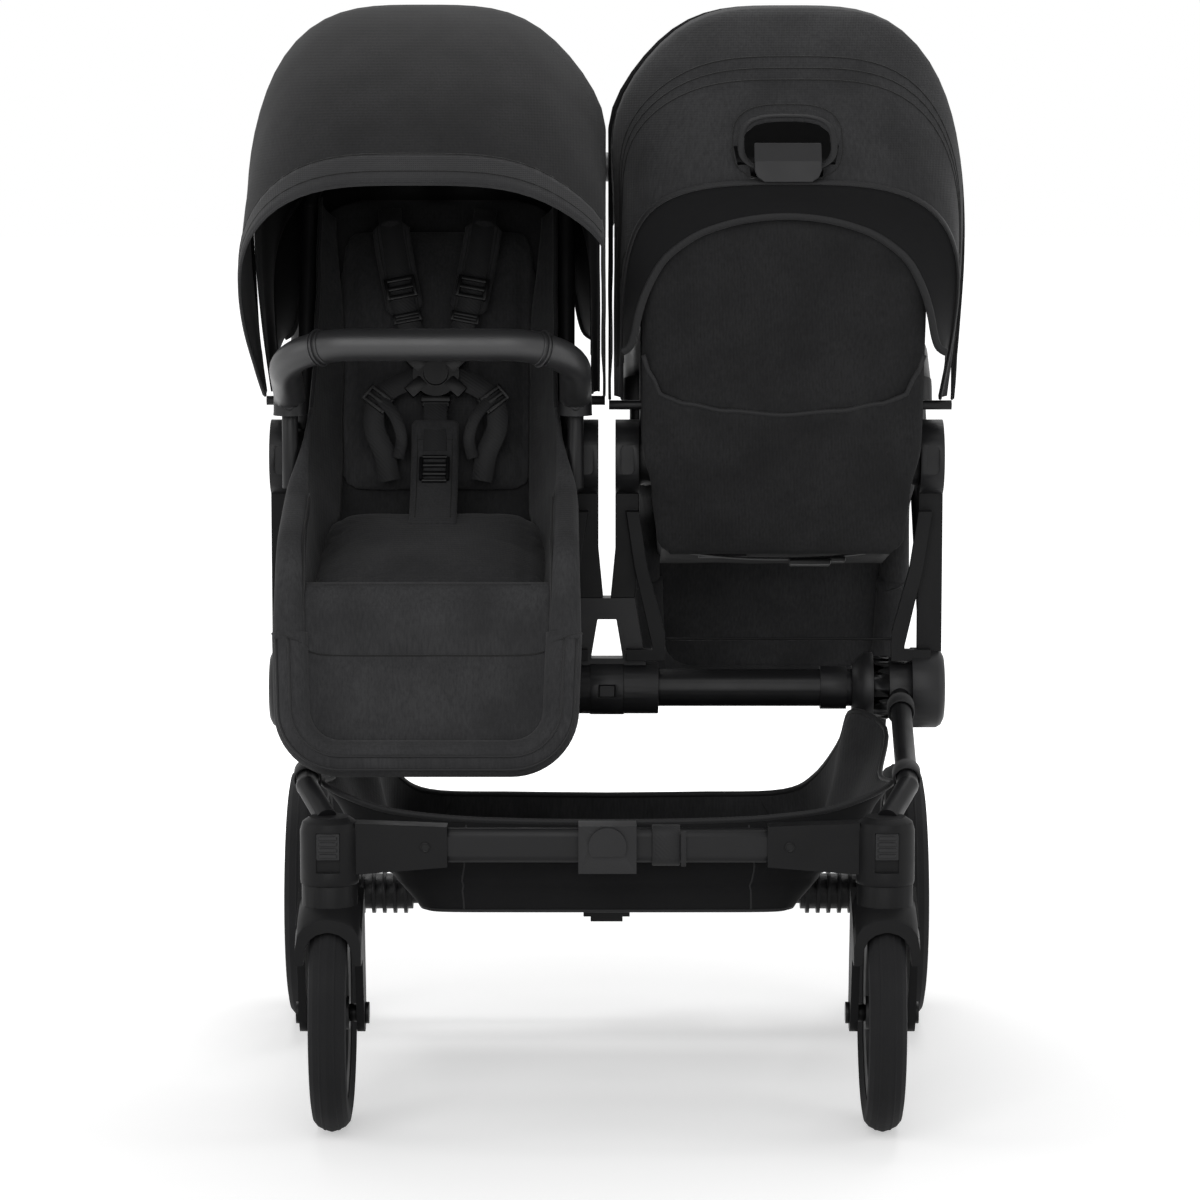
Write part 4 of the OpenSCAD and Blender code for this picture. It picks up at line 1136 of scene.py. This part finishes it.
# Harness straps as (x, up, out) on the backrest, x away from the middle, and the crotch strap as (ahead, up)
SHOULDER_PAD = ((51, 246, 41), (47, 215, 43), (40, 178, 43), (32, 138, 42))
SHOULDER = ((52, 262, 33), (50, 240, 45), (41, 182, 49), (32, 138, 48), (22, 112, 46), (13, 95, 47))
WAIST = ((22, 70, 46), (44, 60, 50), (62, 44, 52), (66, 16, 50), (55, -12, 44), (49, -40, 34))
WAIST_LOOP = ((61, 47, 54), (44, 26, 58), (36, 2, 55), (40, -18, 46))
CROTCH_PAD = ((-12, 694), (4, 662), (32, 627), (62, 606), (90, 594))
CROTCH = ((-20, 712), (-12, 699), (0, 678), (8, 664))


class STROLLER_OT_harnesses(bpy.types.Operator):
    """Five-point harness of each seat: pads, webbing, adjusters and the tongues of the buckle"""
    bl_idname = "stroller.harnesses"
    bl_label = "Harnesses"

    def execute(self, context):
        wide = context.scene.stroller_sizes.strap * 1000
        front, ahead = outward(on_back), Vector((0, 0.62, 0.78))
        thread = oval(0.7, 0.5, 6)
        pads, webs, locks, stitches, ears = Form(), Form(), Form(), Form(), Form()
        for s in (-1, 1):
            run = strap_run(s, SHOULDER_PAD, 24)
            pad_tube(pads, run, front, 40, 9)
            for off in (-15, 15):
                stitches.sweep([p + Vector((off, 0, 0)) + front * 3.6 for p in run[3:-2]], thread, front)
            webs.sweep(strap_run(s, SHOULDER, 40), tape(wide, 1.6), front)
            ladder(locks, on_back(s * 38.5, 169, 51), run[18] - run[10], front, 34, 24, 4.2)
            ladder(locks, on_back(s * 31, 136, 50), run[-1] - run[-4], front, 31, 11, 3.6)
            webs.sweep(strap_run(s, WAIST, 36), tape(wide * 0.92, 1.6), front)
            webs.sweep(strap_run(s, WAIST_LOOP, 24), tape(wide * 0.5, 1.5), front)
            ladder(locks, on_back(s * 62, 45, 54), (s * 0.6, 0, -0.8), front, 30, 20, 4.0)
            for up, w, lean in ((88, 17, 0.7), (60, 15, -0.7)):
                ears.block(facing(on_back(s * 21, up, 49), front, (s * 0.7, 0, lean)), (w, 22, 7), 2.4)
        for k in range(5):
            ears.block(facing(on_back(0, 46 - 5.2 * k, 48), front, (0, 0, 1)), (32 - 2.5 * k, 7, 9), 2.4)
        way = line([(0, f, z) for f, z in CROTCH_PAD], 28)
        pad_tube(pads, way, ahead, 50, 9, 0.9)
        for off in (-18.5, 18.5):
            stitches.sweep([p + Vector((off, 0, 0)) + ahead * 3.8 for p in way[3:-3]], thread, ahead)
        stitches.sweep([way[5] + Vector((x, 0, 0)) + ahead * 4.4 for x in range(-19, 20, 2)], thread, ahead)
        mid, run = way[11] + ahead * 7.0, (way[13] - way[9]).normalized()
        rung, bar = oval(2.2, 2.2, 12), oval(3.2, 2.4, 12)
        for v, reach, section in ((-15, (-13, -8, 0, 8, 13), rung), (15, (-13, -8, 0, 8, 13), rung),
                                  (-5, (-12, 0, 12), bar), (6, (-12, 0, 12), bar)):
            locks.sweep([mid + run * v + Vector((x, 0, 0)) for x in reach], section, ahead)
        for x in (-14, 14):
            locks.sweep([mid + run * v + Vector((x, 0, 0)) for v in (-14, -7, 0, 7, 14)], rung, ahead)
        webs.sweep(line([(0, f, z) for f, z in CROTCH], 20), tape(wide, 1.8), ahead)
        for side, place, seat in seats():
            body = piece("harness_pads_" + side, pads, "canvas", seat, place)
            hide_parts("harness_" + side)
            piece("harness_webbing_" + side, webs, "webbing", seat, place, crease=50)
            piece("harness_adjusters_" + side, locks, "acetal", seat, place, crease=40)
            piece("harness_stitching_" + side, stitches, "thread", seat, place)
            piece("buckle_tongues_" + side, ears, "acetal", seat, place, crease=40)
        return {"FINISHED"}


# Half rings of the basket from its front to its rear, in the row frame
BASKET_RIM = ((0, -343, 314), (90, -342, 315), (165, -338, 318), (232, -326, 326), (288, -298, 345),
              (283, -215, 342), (294, -122, 375), (262, -64, 385), (252, 0, 340), (229, 78, 291), (194, 122, 266),
              (100, 125, 263), (0, 125, 262))
BASKET_FOOT = ((0, -340, 223), (90, -340, 223), (164, -338, 223), (184, -326, 223), (190, -300, 221),
               (197, -220, 213), (203, -130, 204), (210, -70, 199), (219, 0, 191), (233, 70, 184), (232, 112, 181),
               (120, 122, 180), (0, 122, 180))
BASKET_MIDDLE = Vector((0, -105, 196))


def basket_ring(points):
    """Points round the basket through a half ring of points, mirrored to the other side."""
    half = line(points, 64)
    return half + [Vector((-p.x, p.y, p.z)) for p in reversed(half[1:-1])]


def basket_wall(a, b, t):
    """Point of the basket's wall between its rim and its foot, with folds at the front and a pressed seam."""
    p = a.lerp(b, t)
    out = Vector((b.x, (b.y - BASKET_MIDDLE.y) * 0.6, 0)).normalized()
    bulge = 4 * math.sin(math.pi * t) ** 2
    fold = 3.2 * math.sin(13 * t + 0.012 * p.x) * smooth((-250 - p.y) / 60) * smooth(t * 5) * (1 - t)
    crease = 2.6 * noise.noise(Vector((p.x / 55, p.y / 70, t * 3.1))) * math.sin(math.pi * t)
    return p + out * (bulge + fold + crease - 2.2 * bell(t, 0.72, 0.035))


def basket_floor(b, t):
    """Point of the basket's floor between its foot and its middle."""
    p = b.lerp(BASKET_MIDDLE, t)
    p.z -= 5 * math.sin(math.pi * t) + 1.6 * noise.noise(Vector((p.x / 60, p.y / 60, 4)))
    return p


def leg_strap(form, s, at, ahead, r):
    """Band of webbing round a front leg."""
    t, c = Vector(ahead).normalized(), Vector((s * at[0], at[1], at[2]))
    u = t.cross(Vector((0, 0, 1))).normalized()
    w = u.cross(t)
    outs = [u * k + w * q for k, q in circle(32)]
    outs = [Vector((s * o.x, o.y, o.z)) for o in outs]
    form.sweep([c + o * r for o in outs], tape(24, 2.2), outs, closed=True)


class STROLLER_OT_basket(bpy.types.Operator):
    """Basket under the seats: hanging walls with folds, bound rim, seams and the straps that hold it"""
    bl_idname = "stroller.basket"
    bl_label = "Basket"

    def execute(self, context):
        rim, foot = basket_ring(BASKET_RIM), basket_ring(BASKET_FOOT)
        rows = [[basket_wall(a, b, j / 18) for a, b in zip(rim, foot)] for j in range(19)]
        rows += [[basket_floor(b, j / 13) for b in foot] for j in range(1, 13)]
        tray = piece("basket_cloth", Form().bag(rows, 2.4), "canvas", "chassis", inside="lining")
        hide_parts("basket")
        trim = Form().sweep(rim, oval(2.6, 3.4, 8), (0, 0, 1), closed=True)
        for i in (9, len(rim) - 9, 55, len(rim) - 55):
            trim.sweep([row[i] - Vector((0, 0, 0.2)) for row in rows[1:19]], oval(1.6, 1.6, 6), (0, 1, 0.2))
        trim.sweep(foot, oval(1.8, 1.8, 8), (0, 0, 1), closed=True)
        edge = piece("basket_binding", trim, "webbing", "chassis")
        hold = Form()
        for s in (-1, 1):
            for at in ((311.0, -112, 395.2), (304.9, -296, 354)):
                leg_strap(hold, s, at, (0.033, 1, 0.22), 13.4)
        # Elastic strap round the crossbar, and its sewn end
        loop = [Vector((0, c, d)) for c, d in circle(32, 0.5)]
        hold.sweep([Vector((58.5, BAR_Y + 10.2 * p.y, BAR_Z + 10.2 * p.z + math.copysign(9.6, p.z))) for p in loop],
                   tape(28, 2.0), loop, closed=True)
        hold.block(Matrix.Translation((76, -397.2, 297)), (5, 2.0, 36), 0.8)
        straps = piece("basket_straps", hold, "webbing", "chassis", crease=50)
        cloth(tray, [row + [row[0]] for row in rows], "hung", ["front_legs", "main_cross_tube"], [edge, straps])
        return {"FINISHED"}


# Wheels as name, x, y, radius and width of the tyre
WHEELS = (("front", 278, -350, 120, 38), ("rear", 332, 170, 145, 46))


class STROLLER_OT_hardware(bpy.types.Operator):
    """Screw heads on the crossbar and tread lines on the tyres"""
    bl_idname = "stroller.hardware"
    bl_label = "Screws and tread"

    def execute(self, context):
        heads = Form()
        for s in (-1, 1):
            heads.screw((s * 182, -397.4, BAR_Z), (0, -1, 0), 4.2, oval(1.0, 1.0, 8), 3.8, -2, 0.3)
        piece("crossbar_screws", heads, "acetal", "chassis", crease=40)
        for side, s in SIDES.items():
            for name, x, y, r, wide in WHEELS:
                tread = Form()
                for off, crown in ((-0.17, 0.985 * r - 0.3), (0.0, r - 0.7), (0.17, 0.985 * r - 0.3)):
                    outs = [Vector((0, c, e)) for c, e in circle(96)]
                    hub = Vector((s * x + off * wide, y, r))
                    tread.sweep([hub + o * crown for o in outs], oval(1.8, 0.7, 8), outs, closed=True)
                piece("%s_tread_%s" % (name, side), tread, "tyre", "%s_wheel_%s" % (name, side))
        return {"FINISHED"}


STEPS = ("stage", "frame", "canopies", "back_covers", "pads", "side_cloth", "footrests", "bumpers", "harnesses",
         "basket", "hardware")


class STROLLER_PT_panel(bpy.types.Panel):
    """Sidebar panel with the steps in order and the values they read"""
    bl_idname = "STROLLER_PT_panel"
    bl_label = "Double stroller"
    bl_space_type = "VIEW_3D"
    bl_region_type = "UI"
    bl_category = "Stroller"

    def draw(self, context):
        column = self.layout.column()
        for step in STEPS:
            column.operator("stroller." + step)
        for group in (context.scene.stroller_sizes, context.scene.stroller_colours):
            for key in group.bl_rna.properties.keys():
                if key not in ("rna_type", "name"):
                    column.prop(group, key)


CLASSES = (StrollerColours, StrollerSizes, STROLLER_OT_stage, STROLLER_OT_frame, STROLLER_OT_canopies,
           STROLLER_OT_back_covers, STROLLER_OT_pads, STROLLER_OT_side_cloth, STROLLER_OT_footrests,
           STROLLER_OT_bumpers, STROLLER_OT_harnesses, STROLLER_OT_basket, STROLLER_OT_hardware, STROLLER_PT_panel)


def register():
    """Adds the classes and the two groups of values."""
    for cls in CLASSES:
        bpy.utils.register_class(cls)
    bpy.types.Scene.stroller_colours = bpy.props.PointerProperty(type=StrollerColours)
    bpy.types.Scene.stroller_sizes = bpy.props.PointerProperty(type=StrollerSizes)


def unregister():
    """Takes them out again."""
    del bpy.types.Scene.stroller_sizes
    del bpy.types.Scene.stroller_colours
    for cls in reversed(CLASSES):
        bpy.utils.unregister_class(cls)


def main():
    """Builds every piece in order."""
    register()
    for step in STEPS:
        getattr(bpy.ops.stroller, step)()


if __name__ == "__main__":
    main()
